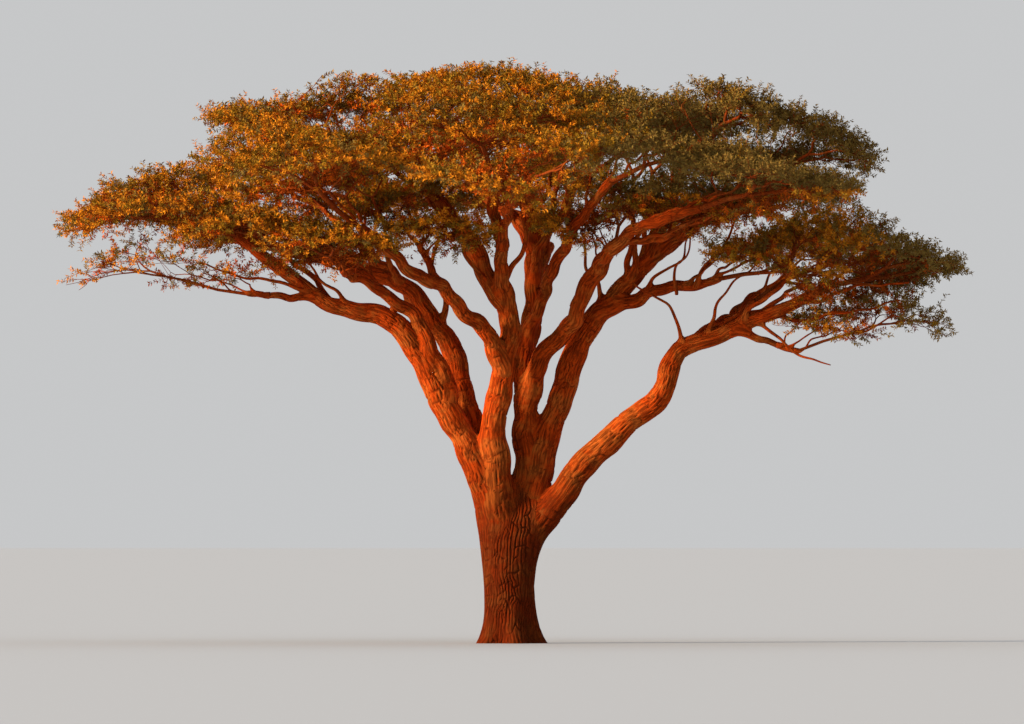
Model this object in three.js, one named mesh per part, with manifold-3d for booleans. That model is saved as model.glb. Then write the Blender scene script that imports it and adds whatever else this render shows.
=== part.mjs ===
// An umbrella thorn, the flat-topped acacia of dry savanna: a short fluted trunk that forks
// about two and a half metres up into spreading boughs, each of which carries an airy pad of
// foliage. The origin is the centre of the flat cut at ground level, +Z is up, +X is to the
// viewer's right, and the viewer stands on the -Y side. Sizes are in millimetres.
import * as THREE from "three";
import { mergeVertices } from "three/addons/utils/BufferGeometryUtils.js";
import Module from "manifold-3d";

const wasm = await Module();
wasm.setup();

const GAP = 0.3; // clearance between pieces that meet
const GROWN = 0.36; // how far a limb is swollen before it trims the limb that leaves it

const TRUNK_WAIST = 425; // half the trunk's width at its narrowest, a metre up
const TRUNK_SIDES = 16;
const ROOT_FLARE = 210; // how far the root swellings stand out at the ground
const ROOT_FLARE_FADE = 330; // height over which they die away
const ROOT_COUNT = 5;
const FLUTE_COUNT = 3; // shallow flutes that wind up the trunk
const FLUTE_DEPTH = 0.035; // as a share of its radius
const FLUTE_WIND = 900; // height over which they turn by a radian
const FORK_STUB = 3300; // height at which each bough is cut from the trunk

const BOUGH_SIDES = 8;
const LIMB_SIDES = 6;
const LIMB_RINGS = 3; // the fewest lengths that a limb is made of
const RING_SPACING = 680; // along a limb
const GIRTH_FALL = 0.65; // under 1 keeps a limb stout until near its end
const COLLAR = 0.35; // extra girth of a limb at its foot, as a share of its radius
const COLLAR_FADE = 2.4; // length over which it dies away, in foot radii
const FOOT_NARROWED = 0.45; // how much of its girth a limb's foot gives up
const FOOT_EASED = 1.1; // collar fades over which it comes back
const LEAVE_SHARE = 0.36; // how far a bending limb keeps the way it left its parent
const ARRIVE_SHARE = 0.3; // and how far it already runs the way it ends

const STEM_START = 0.8; // a stem's radius, as a share of its bough's end
const STEM_SIDES = 4; // a stem, up to its last fork
const TWIG_SIDES = 3;
const TWIG_END = 15; // radius of a twig where its last spray starts
const TWIG_TAPER = 0.86; // end radius of a forking length, as a share of its start
const TWIG_SUNK = 0.5; // how far a twig's foot is sunk behind its fork, in radii
const FORK_THINNING = 0.68; // a fork's two arms, as a share of the radius that bears them
const FORK_SHARE = 0.46; // how far towards its targets a stem runs before it forks
const TARGET_SPREAD = 0.78; // how far out in its pad the outermost twig can end
const TARGET_LOW = -0.5; // the lowest twig's level, as a share of the pad's half height
const TARGET_RISE = 1.2; // and the range of levels above it

const SPRAY_LENGTH = 1040;
const SPRAY_SHORTENED = [1, 0.85, 0.7]; // lengths tried in turn where space is short
const SPRAY_WIDTH = 0.5; // as a share of its length, as are the two below
const SPRAY_THICKNESS = 0.07;
const SPRAY_WIDEST = 0.42;
const SPRAY_SUNK = 14; // how far an end spray's root is sunk in its twig
const SPRAY_TILT = 1.6; // how far a blade may lean off level, as a slope
const SPRAY_OUTWARD = 0.7; // how strongly sprays turn away from their pad's middle
const SPRAYS_PER_TWIG = 3;
const SIDE_SPRAY_FIRST = 0.24; // where the side sprays stand, as shares back from a twig's end
const SIDE_SPRAY_STEP = 0.26;

const PAD_SQUARENESS = 2.8; // 2 is an ellipsoid, more is nearer to a box
const TWIG_SPACE = 1.25; // how far out in its pad a twig may run, with 1 at the edge
const SPRAY_SPACE = 1.02;
const CLEAR_OF_LIMB = 26; // least distance between foliage and any limb
const CLEAR_OF_MASS = 0.045; // least distance to the next mass, in shares of its reach

// The trunk's rings: height, centre and half widths along X and Y.
const TRUNK_RINGS = [
  { z: 0, x: 0, y: 0, rx: 1.04, ry: 1.02 },
  { z: 130, x: 0, y: 0, rx: 1.03, ry: 1.01 },
  { z: 320, x: 0, y: 0, rx: 1.01, ry: 1.0 },
  { z: 620, x: -4, y: 0, rx: 1.0, ry: 0.98 },
  { z: 980, x: 0, y: -6, rx: 1.0, ry: 0.97 },
  { z: 1350, x: 14, y: -10, rx: 1.09, ry: 1.0 },
  { z: 1720, x: 44, y: -12, rx: 1.24, ry: 1.07 },
  { z: 2080, x: 84, y: -10, rx: 1.4, ry: 1.12 },
  { z: 2360, x: 120, y: 0, rx: 1.42, ry: 1.04 },
  { z: 2560, x: 140, y: 10, rx: 1.2, ry: 0.8 },
];

// Every limb, with the mass of foliage at its tip. A limb with a route follows those points.
// One without leaves its parent at the given share of the parent's length and bends to its tip.
// A mass is an upturned pad: its centre, its reach each way, and the number of its twigs.
const LIMBS = [
  {
    name: "bough_left_outer", on: "trunk", foot: 250, end: 78,
    route: [[-120, -60, 1500], [-430, -150, 2760], [-1290, -330, 4460], [-1740, -400, 5310],
      [-2170, -430, 5640], [-2720, -480, 5730], [-3320, -540, 6000], [-4700, -650, 7050]],
    mass: { name: "crown_left_outer", centre: [-5850, -500, 7520], reach: [2050, 1600, 840], twigs: 6 },
  },
  {
    name: "bough_left_low", on: "bough_left_outer", at: 0.84, foot: 76, end: 38,
    tip: [-4480, -980, 6010],
    mass: { name: "crown_left_fringe", centre: [-6100, -1050, 6420], reach: [1950, 1150, 620], twigs: 5 },
  },
  {
    name: "bough_left_front", on: "bough_left_outer", foot: 150, end: 58,
    route: [[-980, -280, 3900], [-1120, -340, 4600], [-1440, -440, 5330], [-1820, -560, 5800],
      [-2250, -780, 6140], [-2980, -1130, 6620]],
    mass: { name: "crown_left_inner", centre: [-4100, -1350, 7060], reach: [1800, 1500, 950], twigs: 5 },
  },
  {
    name: "bough_low_left", on: "bough_left_front", at: 0.74, foot: 72, end: 42,
    tip: [-2860, -1720, 6400],
    mass: { name: "crown_low_left", centre: [-3000, -2350, 6840], reach: [1350, 1150, 600], twigs: 4 },
  },
  {
    name: "bough_left_inner", on: "trunk", foot: 235, end: 72,
    route: [[-150, 60, 1500], [-480, 120, 2950], [-760, 270, 4230], [-960, 430, 5000],
      [-1300, 620, 5600], [-1800, 870, 6160], [-2850, 1200, 6600], [-4600, 1700, 7000]],
    mass: { name: "crown_left_back", centre: [-6000, 2250, 7400], reach: [1800, 1650, 780], twigs: 5 },
  },
  {
    name: "bough_back_left", on: "bough_left_inner", at: 0.4, foot: 135, end: 60,
    tip: [-3050, 2850, 7400],
    mass: { name: "crown_back_left", centre: [-3800, 3700, 8060], reach: [1850, 1750, 860], twigs: 5 },
  },
  {
    name: "bough_centre", on: "trunk", foot: 255, end: 82,
    route: [[-40, -110, 1500], [-200, -230, 2900], [-250, -350, 3780], [-90, -470, 4690],
      [20, -540, 5500], [-340, -560, 6290], [-770, -600, 7100], [-1850, -700, 8430]],
    mass: { name: "crown_top_left", centre: [-3350, -700, 8880], reach: [2000, 1950, 920], twigs: 6 },
  },
  {
    name: "bough_crossing_left", on: "bough_centre", at: 0.42, foot: 148, end: 60,
    tip: [-2550, -2800, 7120],
    mass: { name: "crown_front_left", centre: [-3350, -3600, 8100], reach: [1850, 1700, 880], twigs: 5 },
  },
  {
    name: "bough_inner_left", on: "bough_crossing_left", at: 0.5, foot: 76, end: 42,
    tip: [-1560, -1150, 6880],
    mass: { name: "crown_inner_left", centre: [-1750, -1600, 7360], reach: [1480, 1300, 860], twigs: 4 },
  },
  {
    name: "bough_front", on: "bough_centre", at: 0.6, foot: 142, end: 60,
    tip: [-350, -2300, 8080],
    mass: { name: "crown_top_front", centre: [-600, -3300, 8720], reach: [1950, 1750, 920], twigs: 5 },
  },
  {
    name: "bough_front_low", on: "bough_front", at: 0.42, foot: 88, end: 48,
    tip: [150, -4600, 7650],
    mass: { name: "crown_front", centre: [300, -5550, 7980], reach: [1850, 1500, 760], twigs: 5 },
  },
  {
    name: "bough_centre_back", on: "trunk", foot: 245, end: 80,
    route: [[100, 70, 1500], [310, 170, 2900], [300, 270, 3780], [270, 360, 4690],
      [370, 420, 5500], [460, 420, 6250], [400, 350, 7400], [190, 250, 8430]],
    mass: { name: "crown_top", centre: [250, 50, 9200], reach: [2050, 1900, 900], twigs: 6 },
  },
  {
    name: "bough_crossing_right", on: "bough_centre_back", at: 0.5, foot: 118, end: 58,
    tip: [1750, -2480, 7920],
    mass: { name: "crown_top_front_right", centre: [2600, -3250, 8540], reach: [1750, 1700, 900], twigs: 5 },
  },
  {
    name: "bough_back", on: "bough_centre_back", at: 0.50, foot: 118, end: 52,
    tip: [500, 4850, 7500],
    mass: { name: "crown_back", centre: [-200, 5850, 8000], reach: [1900, 1500, 780], twigs: 5 },
  },
  {
    name: "bough_top_back_left", on: "bough_centre_back", at: 0.78, foot: 108, end: 58,
    tip: [-1150, 2300, 8260],
    mass: { name: "crown_top_back_left", centre: [-1700, 3100, 9000], reach: [1950, 1850, 960], twigs: 5 },
  },
  {
    name: "bough_top_back_right", on: "bough_centre_back", at: 0.7, foot: 110, end: 58,
    tip: [1250, 2400, 8080],
    mass: { name: "crown_top_back_right", centre: [1700, 3300, 9000], reach: [1950, 1850, 960], twigs: 5 },
  },
  {
    name: "bough_right_inner", on: "bough_centre_back", at: 0.36, foot: 178, end: 62,
    route: [[300, 300, 4000], [560, -60, 4900], [1150, -500, 5600], [1400, -860, 6300],
      [2100, -2000, 7050], [3280, -3350, 7430]],
    mass: { name: "crown_front_right", centre: [4200, -4150, 7860], reach: [1800, 1650, 820], twigs: 5 },
  },
  {
    name: "bough_inner_right", on: "bough_right_inner", at: 0.46, foot: 78, end: 44,
    tip: [1800, -780, 6760],
    mass: { name: "crown_inner_right", centre: [1750, -1150, 7580], reach: [1380, 1200, 800], twigs: 4 },
  },
  {
    name: "bough_low_right", on: "bough_right_inner", at: 0.72, foot: 76, end: 42,
    tip: [2780, -1820, 7020],
    mass: { name: "crown_low_right", centre: [3400, -2050, 7450], reach: [1250, 1100, 600], twigs: 4 },
  },
  {
    name: "bough_right", on: "trunk", foot: 265, end: 80,
    route: [[200, 60, 1500], [520, 110, 2900], [780, 160, 3900], [1320, 230, 5370],
      [1900, 240, 6050], [2350, 240, 6600], [3050, 180, 8230]],
    mass: { name: "crown_top_right", centre: [3200, 100, 8900], reach: [1850, 1900, 880], twigs: 6 },
  },
  {
    name: "bough_right_middle", on: "bough_right", at: 0.55, foot: 132, end: 56,
    tip: [3650, -500, 6290],
    mass: { name: "crown_right_inner", centre: [4700, -900, 6620], reach: [1400, 1350, 800], twigs: 6 },
  },
  {
    name: "bough_far_right", on: "bough_right", at: 0.8, foot: 108, end: 58,
    tip: [4100, 450, 7930],
    mass: { name: "crown_top_far_right", centre: [4850, 500, 8460], reach: [1650, 1700, 880], twigs: 5 },
  },
  {
    name: "bough_back_right", on: "bough_right", at: 0.48, foot: 132, end: 58,
    tip: [3300, 3250, 7290],
    mass: { name: "crown_back_right", centre: [4300, 4100, 7800], reach: [1850, 1750, 840], twigs: 5 },
  },
  {
    name: "bough_right_outer", on: "trunk", foot: 250, end: 76,
    route: [[240, -60, 1500], [900, -170, 2560], [1800, -230, 3590], [2520, -260, 4150],
      [2830, -270, 4870], [3200, -285, 5180], [4010, -330, 5460], [5300, -450, 6040]],
    mass: { name: "crown_right_outer", centre: [6300, -400, 6640], reach: [1800, 1600, 900], twigs: 5 },
  },
  {
    name: "bough_right_low", on: "bough_right_outer", at: 0.83, foot: 74, end: 38,
    tip: [5000, -240, 5050],
    mass: { name: "crown_right_fringe", centre: [6250, -200, 5500], reach: [1650, 1200, 520], twigs: 5 },
  },
  {
    name: "bough_right_back", on: "bough_right_outer", at: 0.66, foot: 114, end: 56,
    tip: [4850, 2000, 6340],
    mass: { name: "crown_right_back", centre: [5900, 2600, 6840], reach: [1700, 1600, 800], twigs: 5 },
  },
];

const MATERIALS = {
  bark: new THREE.MeshStandardMaterial({ color: "#8f4a26", roughness: 0.92, metalness: 0 }),
  foliage: new THREE.MeshStandardMaterial({ color: "#7d5a17", roughness: 0.8, metalness: 0 }),
};

const GOLDEN_SHARE = (Math.sqrt(5) - 1) / 2;
const UP = new THREE.Vector3(0, 0, 1);
const point = (list) => new THREE.Vector3(...list);

// The same run of numbers between 0 and 1 for the same seed.
function seeded(seed) {
  let state = seed >>> 0;
  return () => {
    state = (state + 0x6d2b79f5) >>> 0;
    let mixed = Math.imul(state ^ (state >>> 15), 1 | state);
    mixed = (mixed + Math.imul(mixed ^ (mixed >>> 7), 61 | mixed)) ^ mixed;
    return ((mixed ^ (mixed >>> 14)) >>> 0) / 4294967296;
  };
}

// A closed skin over a stack of rings that have the same number of points. Each end is a fan,
// from the ring's middle where the ring isn't convex.
function skin(rings, fromMiddle = false) {
  const sides = rings[0].length;
  const vertices = rings.flat();
  const faces = [];
  for (let ring = 0; ring + 1 < rings.length; ring += 1) {
    for (let side = 0; side < sides; side += 1) {
      const a = ring * sides + side;
      const b = ring * sides + ((side + 1) % sides);
      faces.push(a, b, b + sides, a, b + sides, a + sides);
    }
  }
  const last = (rings.length - 1) * sides;
  if (fromMiddle) {
    for (const [first, turned] of [[0, true], [last, false]]) {
      const middle = new THREE.Vector3();
      vertices.slice(first, first + sides).forEach((p) => middle.addScaledVector(p, 1 / sides));
      vertices.push(middle);
      for (let side = 0; side < sides; side += 1) {
        const a = first + side;
        const b = first + ((side + 1) % sides);
        faces.push(...(turned ? [vertices.length - 1, b, a] : [vertices.length - 1, a, b]));
      }
    }
  } else {
    for (let side = 1; side + 1 < sides; side += 1) {
      faces.push(0, side + 1, side, last, last + side, last + side + 1);
    }
  }
  const geometry = new THREE.BufferGeometry().setFromPoints(vertices);
  geometry.setIndex(faces);
  return geometry;
}

function solid(geometry) {
  const bare = geometry.clone();
  bare.deleteAttribute("normal");
  bare.deleteAttribute("uv");
  const merged = mergeVertices(bare, 1e-4);
  return new wasm.Manifold(
    new wasm.Mesh({
      numProp: 3,
      vertProperties: merged.attributes.position.array,
      triVerts: new Uint32Array(merged.index.array),
    }),
  );
}

function geometryOf(made) {
  const mesh = made.getMesh();
  const positions = new Float32Array(mesh.numVert * 3);
  for (let i = 0; i < mesh.numVert; i += 1) {
    positions.set(mesh.vertProperties.subarray(i * mesh.numProp, i * mesh.numProp + 3), i * 3);
  }
  const geometry = new THREE.BufferGeometry();
  geometry.setAttribute("position", new THREE.BufferAttribute(positions, 3));
  geometry.setIndex(new THREE.BufferAttribute(mesh.triVerts, 1));
  geometry.computeVertexNormals();
  return geometry;
}

// The largest body of a solid: a trimming cut can leave a scrap.
function largest(made) {
  const bodies = made.decompose();
  return bodies.reduce((best, body) => (body.volume() > best.volume() ? body : best));
}

// A limb's middle line. A limb without a route starts on its parent's middle line, half along
// the parent and half towards its own tip, and comes in to the tip pointing at its mass.
function middleLine(limb, parent) {
  if (limb.route) return new THREE.CatmullRomCurve3(limb.route.map(point), false, "catmullrom", 0.5);
  const start = parent.line.getPoint(limb.at);
  const tip = point(limb.tip);
  const reach = tip.distanceTo(start);
  const ahead = tip.clone().sub(start).normalize();
  const leave = parent.line.getTangent(limb.at).add(ahead).normalize();
  const arrive = point(limb.mass.centre).sub(tip).normalize().add(ahead).normalize();
  return new THREE.CubicBezierCurve3(
    start,
    start.clone().addScaledVector(leave, reach * LEAVE_SHARE),
    tip.clone().addScaledVector(arrive, -reach * ARRIVE_SHARE),
    tip,
  );
}

// Girth falls from foot to end, with a collar where a limb leaves another. The foot itself is
// narrower, so that it stays inside what bears it.
function girth(limb, share) {
  const along = (share * limb.length) / (limb.foot * COLLAR_FADE);
  const collar = limb.on === "trunk" ? 1 : 1 + COLLAR * Math.exp(-along);
  const eased = Math.min(1, along / FOOT_EASED);
  const narrowed = 1 - FOOT_NARROWED * (1 - eased * eased * (3 - 2 * eased));
  const taper = limb.end + (limb.foot - limb.end) * Math.max(0, 1 - share) ** GIRTH_FALL;
  return taper * collar * narrowed;
}

// Points, directions and a frame that doesn't twist, at even steps from one share to another.
function stations(limb, from, to, count) {
  const rows = [];
  let side = null;
  for (let i = 0; i <= count; i += 1) {
    const share = from + ((to - from) * i) / count;
    const along = limb.line.getTangent(share).normalize();
    const seed = side ?? new THREE.Vector3(0, 1, 0);
    side = seed.clone().addScaledVector(along, -seed.dot(along)).normalize();
    rows.push({ at: limb.line.getPoint(share), along, side, across: along.clone().cross(side), share });
  }
  return rows;
}

function limbSolid(limb, from, to, grow = 0) {
  const sides = limb.on === "trunk" ? BOUGH_SIDES : LIMB_SIDES;
  const count = Math.max(LIMB_RINGS, Math.round(((to - from) * limb.length) / RING_SPACING));
  const rings = stations(limb, from, to, count).map(({ at, along, side, across, share }, i) => {
    const radius = girth(limb, share) + grow;
    const overrun = i === 0 ? -grow : i === count ? grow : 0;
    return Array.from({ length: sides }, (_, n) => {
      const angle = (2 * Math.PI * n) / sides;
      return at.clone().addScaledVector(along, overrun)
        .addScaledVector(side, radius * Math.cos(angle))
        .addScaledVector(across, radius * Math.sin(angle));
    });
  });
  return solid(skin(rings));
}

// The trunk's own shell: rings with root swellings at the foot and shallow flutes above.
function trunkShell(grow) {
  const rings = TRUNK_RINGS.map(({ z, x, y, rx, ry }, i) => {
    const last = i === TRUNK_RINGS.length - 1;
    return Array.from({ length: TRUNK_SIDES }, (_, n) => {
      const angle = (2 * Math.PI * n) / TRUNK_SIDES;
      const root = ROOT_FLARE * Math.exp(-z / ROOT_FLARE_FADE)
        * (0.55 + 0.45 * Math.cos(ROOT_COUNT * angle));
      const flute = 1 + FLUTE_DEPTH * Math.cos(FLUTE_COUNT * angle + z / FLUTE_WIND);
      return new THREE.Vector3(
        x + (TRUNK_WAIST * rx * flute + root + grow) * Math.cos(angle),
        y + (TRUNK_WAIST * ry * flute + root + grow) * Math.sin(angle),
        z + (last ? grow : 0),
      );
    });
  });
  return solid(skin(rings, true));
}

// Where a bough's middle line passes the height at which it is cut from the trunk.
function stubShare(limb) {
  let low = 0;
  let high = 0.6;
  for (let i = 0; i < 30; i += 1) {
    const middle = (low + high) / 2;
    if (limb.line.getPoint(middle).z < FORK_STUB) low = middle;
    else high = middle;
  }
  return low;
}

function trunkSolid(boughs, grow = 0) {
  return boughs.reduce(
    (made, bough) => made.add(limbSolid(bough, 0, bough.stub, grow)),
    trunkShell(grow),
  );
}

const limbs = new Map();
for (const entry of LIMBS) {
  const limb = { ...entry };
  limb.line = middleLine(limb, limbs.get(limb.on));
  limb.length = limb.line.getLength();
  limb.stub = limb.on === "trunk" ? stubShare(limb) : 0;
  limb.samples = Array.from({ length: 49 }, (_, i) => {
    const share = i / 48;
    return { at: limb.line.getPoint(share), radius: girth(limb, share) };
  });
  limbs.set(limb.name, limb);
}
const boughs = [...limbs.values()].filter((limb) => limb.on === "trunk");
const masses = [...limbs.values()].map((limb) => ({
  ...limb.mass,
  centre: point(limb.mass.centre),
  reach: point(limb.mass.reach),
}));

// How far out a point is in a mass, with 1 at the edge of its pad: an ellipsoid with squared-off
// shoulders.
function depthIn(mass, p) {
  return ["x", "y", "z"].reduce(
    (sum, axis) => sum + Math.abs((p[axis] - mass.centre[axis]) / mass.reach[axis]) ** PAD_SQUARENESS,
    0,
  ) ** (1 / PAD_SQUARENESS);
}

// A mass's own space is inside its pad and nearer to its centre than to any other's.
function inOwnSpace(mass, p, edge = 1) {
  const own = depthIn(mass, p);
  return own <= edge
    && masses.every((other) => other.name === mass.name || depthIn(other, p) > own + CLEAR_OF_MASS);
}

function clearOfLimbs(p, spare) {
  for (const limb of limbs.values()) {
    for (let i = 0; i + 1 < limb.samples.length; i += 1) {
      const a = limb.samples[i];
      const b = limb.samples[i + 1];
      const run = b.at.clone().sub(a.at);
      const share = THREE.MathUtils.clamp(p.clone().sub(a.at).dot(run) / run.lengthSq(), 0, 1);
      const near = a.at.clone().addScaledVector(run, share);
      if (near.distanceTo(p) < a.radius + spare) return false;
    }
  }
  return true;
}

// A tapering rod of a few sides between two points. Its first face can be turned to lie square
// to another direction than its own.
function rod(from, to, startRadius, endRadius, sides, facing = null) {
  const own = to.clone().sub(from).normalize();
  return solid(skin([[from, startRadius, facing ?? own], [to, endRadius, own]].map(
    ([at, radius, along]) => {
      const side = (Math.abs(own.z) < 0.9 ? UP : new THREE.Vector3(1, 0, 0)).clone();
      side.addScaledVector(along, -side.dot(along)).normalize();
      const across = along.clone().cross(side);
      return Array.from({ length: sides }, (_, n) => {
        const angle = (2 * Math.PI * n) / sides;
        return at.clone().addScaledVector(side, radius * Math.cos(angle))
          .addScaledVector(across, radius * Math.sin(angle));
      });
    },
  )));
}

// A spray: a blade with a flat underside and a low ridge, from a pointed root, widest a little
// short of halfway.
function spray(root, along, flat, length) {
  const across = along.clone().cross(flat).normalize();
  const normal = across.clone().cross(along).normalize();
  const widest = root.clone().addScaledVector(along, SPRAY_WIDEST * length);
  const right = widest.clone().addScaledVector(across, (SPRAY_WIDTH * length) / 2);
  const left = widest.clone().addScaledVector(across, (-SPRAY_WIDTH * length) / 2);
  const ridge = widest.clone().addScaledVector(normal, SPRAY_THICKNESS * length);
  const tip = root.clone().addScaledVector(along, length);
  const geometry = new THREE.BufferGeometry().setFromPoints([root, tip, right, left, ridge]);
  geometry.setIndex([0, 4, 3, 0, 2, 4, 0, 3, 2, 1, 3, 4, 1, 4, 2, 1, 2, 3]);
  return geometry;
}

// Points all over a blade, to test it against its space and the limbs.
function bladePoints(root, along, flat, length) {
  const across = along.clone().cross(flat).normalize();
  const found = [];
  for (let i = 1; i <= 8; i += 1) {
    const u = i / 8;
    const wide = u < SPRAY_WIDEST ? u / SPRAY_WIDEST : (1 - u) / (1 - SPRAY_WIDEST);
    for (const v of [-1, -0.5, 0, 0.5, 1]) {
      found.push(root.clone().addScaledVector(along, u * length)
        .addScaledVector(across, (v * wide * SPRAY_WIDTH * length) / 2));
    }
  }
  return found;
}

// Evenly spread places for the twigs' ends: a golden-angle spiral in plan, its outermost one
// away from the trunk, and in height a golden-ratio walk from the pad's underside to its top.
function twigTargets(mass) {
  const golden = 2 * Math.PI * (1 - GOLDEN_SHARE);
  const turn = Math.atan2(mass.centre.y, mass.centre.x) - (mass.twigs - 1) * golden;
  return Array.from({ length: mass.twigs }, (_, k) => {
    const out = TARGET_SPREAD * Math.sqrt((k + 0.5) / mass.twigs);
    const angle = turn + k * golden;
    const level = ((k + 0.5) * GOLDEN_SHARE) % 1;
    return mass.centre.clone().add(new THREE.Vector3(
      mass.reach.x * out * Math.cos(angle),
      mass.reach.y * out * Math.sin(angle),
      mass.reach.z * (TARGET_LOW + TARGET_RISE * level),
    ));
  });
}

// The targets in two groups, either side of the plane through their middle that parts them best
// as seen from the fork.
function parted(targets, fork) {
  const ways = targets.map((t) => t.clone().sub(fork).normalize());
  const mean = ways.reduce((sum, way) => sum.add(way), new THREE.Vector3()).normalize();
  let axis = new THREE.Vector3(0.3, 1, 0.1);
  for (let i = 0; i < 12; i += 1) {
    const next = new THREE.Vector3();
    ways.forEach((way) => {
      const off = way.clone().sub(mean);
      next.addScaledVector(off, off.dot(axis));
    });
    axis = next.lengthSq() > 1e-12 ? next.normalize() : axis;
  }
  const order = targets.map((t, i) => ({ t, key: ways[i].dot(axis) })).sort((a, b) => a.key - b.key);
  const half = Math.ceil(order.length / 2);
  return [order.slice(0, half), order.slice(half)].map((part) => part.map(({ t }) => t));
}

// Grows one mass: first every twig, then the sprays on the last twigs. A twig or spray that
// would leave the mass's space, touch a limb or run through another spray is left out.
function growMass(limb, mass) {
  const random = seeded(Math.round(Math.abs(mass.centre.x) + 3 * Math.abs(mass.centre.y) + mass.centre.z));
  const twigs = [];
  const sprays = [];
  const lastTwigs = [];

  const addTwig = (from, to, startRadius, endRadius, sides, facing = null) => {
    for (let i = 2; i <= 8 && !facing; i += 1) {
      const p = from.clone().lerp(to, i / 8);
      if (!inOwnSpace(mass, p, TWIG_SPACE) || !clearOfLimbs(p, CLEAR_OF_LIMB + startRadius)) return null;
    }
    twigs.push(rod(from, to, startRadius, endRadius, sides, facing));
    return twigs[twigs.length - 1];
  };

  const fork = (from, targets, radius, facing = null) => {
    if (targets.length === 1) {
      const along = targets[0].clone().sub(from).normalize();
      const start = from.clone().addScaledVector(along, -radius * TWIG_SUNK);
      const twig = addTwig(start, targets[0], radius, TWIG_END, TWIG_SIDES);
      if (twig) lastTwigs.push({ from, to: targets[0], along, twig });
      return;
    }
    const middle = targets.reduce((sum, t) => sum.addScaledVector(t, 1 / targets.length),
      new THREE.Vector3());
    const next = from.clone().lerp(middle, FORK_SHARE);
    const along = next.clone().sub(from).normalize();
    const start = facing ? from : from.clone().addScaledVector(along, -radius * TWIG_SUNK);
    if (!addTwig(start, next, radius, radius * TWIG_TAPER, STEM_SIDES, facing)) return;
    const thinner = Math.max(radius * TWIG_TAPER * FORK_THINNING, TWIG_END * 1.1);
    const inside = next.clone().addScaledVector(along, -thinner);
    for (const part of parted(targets, next)) fork(inside, part, thinner);
  };

  const addSpray = (own, root, along, flat) => {
    for (const share of SPRAY_SHORTENED) {
      const length = SPRAY_LENGTH * share * (0.9 + 0.2 * random());
      const blade = solid(spray(root, along, flat, length));
      const inside = bladePoints(root, along, flat, length)
        .every((p) => inOwnSpace(mass, p, SPRAY_SPACE)
          && clearOfLimbs(p, CLEAR_OF_LIMB + SPRAY_THICKNESS * length));
      const alone = [...sprays, ...twigs.filter((twig) => twig !== own)]
        .every((other) => other.intersect(blade).isEmpty());
      if (inside && alone) {
        sprays.push(blade);
        return;
      }
    }
  };

  // One spray at a last twig's end, the others in turn to its two sides.
  const dress = ({ from, to, along, twig }) => {
    const outward = to.clone().sub(mass.centre).setZ(0).normalize();
    const lean = along.clone().addScaledVector(outward, SPRAY_OUTWARD).normalize();
    const tilt = () => UP.clone()
      .add(new THREE.Vector3(2 * random() - 1, 2 * random() - 1, 0).multiplyScalar(SPRAY_TILT))
      .normalize();
    addSpray(twig, to.clone().addScaledVector(along, -SPRAY_SUNK), lean, tilt());
    for (let n = 0; n < SPRAYS_PER_TWIG - 1; n += 1) {
      const root = to.clone().lerp(from, SIDE_SPRAY_FIRST + SIDE_SPRAY_STEP * n);
      const sideways = lean.clone().cross(UP).normalize().multiplyScalar(n % 2 ? -1 : 1)
        .addScaledVector(lean, 0.45).addScaledVector(UP, 0.3 * (random() - 0.35)).normalize();
      addSpray(twig, root, sideways, tilt());
    }
  };

  const arrive = limb.line.getTangent(1).normalize();
  const foot = limb.line.getPoint(1).addScaledVector(arrive, GAP);
  fork(foot, twigTargets(mass), limb.end * STEM_START, arrive);
  lastTwigs.forEach(dress);
  return largest([...twigs, ...sprays].reduce((joined, piece) => joined.add(piece)));
}

const tree = new THREE.Group();
function place(name, made, material) {
  const mesh = new THREE.Mesh(geometryOf(made), material);
  mesh.name = name;
  tree.add(mesh);
}

place("trunk", trunkSolid(boughs), MATERIALS.bark);
const trunkGrown = trunkSolid(boughs, GROWN);
const grownSoFar = [];
for (const limb of limbs.values()) {
  const start = limb.stub + (limb.on === "trunk" ? GAP / limb.length : 0);
  let made = limbSolid(limb, start, 1);
  for (const cutter of [trunkGrown, ...grownSoFar]) {
    made = made.subtract(cutter);
  }
  place(limb.name, largest(made), MATERIALS.bark);
  grownSoFar.push(limbSolid(limb, start, 1, GROWN));
}

for (const limb of limbs.values()) {
  const mass = masses.find((one) => one.name === limb.mass.name);
  place(mass.name, growMass(limb, mass), MATERIALS.foliage);
}

export default tree;
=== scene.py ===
import math

import bpy
import numpy as np
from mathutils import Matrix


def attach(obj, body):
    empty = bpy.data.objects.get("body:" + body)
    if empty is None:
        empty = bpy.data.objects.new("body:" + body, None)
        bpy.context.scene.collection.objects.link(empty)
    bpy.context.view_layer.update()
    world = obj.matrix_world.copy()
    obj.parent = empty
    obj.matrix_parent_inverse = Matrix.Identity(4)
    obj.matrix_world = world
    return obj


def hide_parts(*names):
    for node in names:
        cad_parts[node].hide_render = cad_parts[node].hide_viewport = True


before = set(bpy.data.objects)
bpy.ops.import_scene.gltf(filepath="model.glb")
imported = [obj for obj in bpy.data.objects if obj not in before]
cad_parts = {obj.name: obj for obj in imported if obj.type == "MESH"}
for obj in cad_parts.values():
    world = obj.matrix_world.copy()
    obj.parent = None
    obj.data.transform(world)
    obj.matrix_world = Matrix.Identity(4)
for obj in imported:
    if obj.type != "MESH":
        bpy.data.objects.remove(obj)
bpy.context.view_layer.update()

# Camera. It looks the way the photograph does: level, from the front, at eye height and from
# far off through a long lens, so that the boughs keep the outline they have there. The view
# is closed in on the tree.
VIEW_FROM = (0.06, -197.0, 2.0)
VIEW_ON = (0.06, 0.0, 4.86)
VIEW_WIDTH = 17.7  # metres across at the tree


def placed(name, data):
    """A new object, put into the scene."""
    made = bpy.data.objects.new(name, data)
    bpy.context.collection.objects.link(made)
    return made


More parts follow.
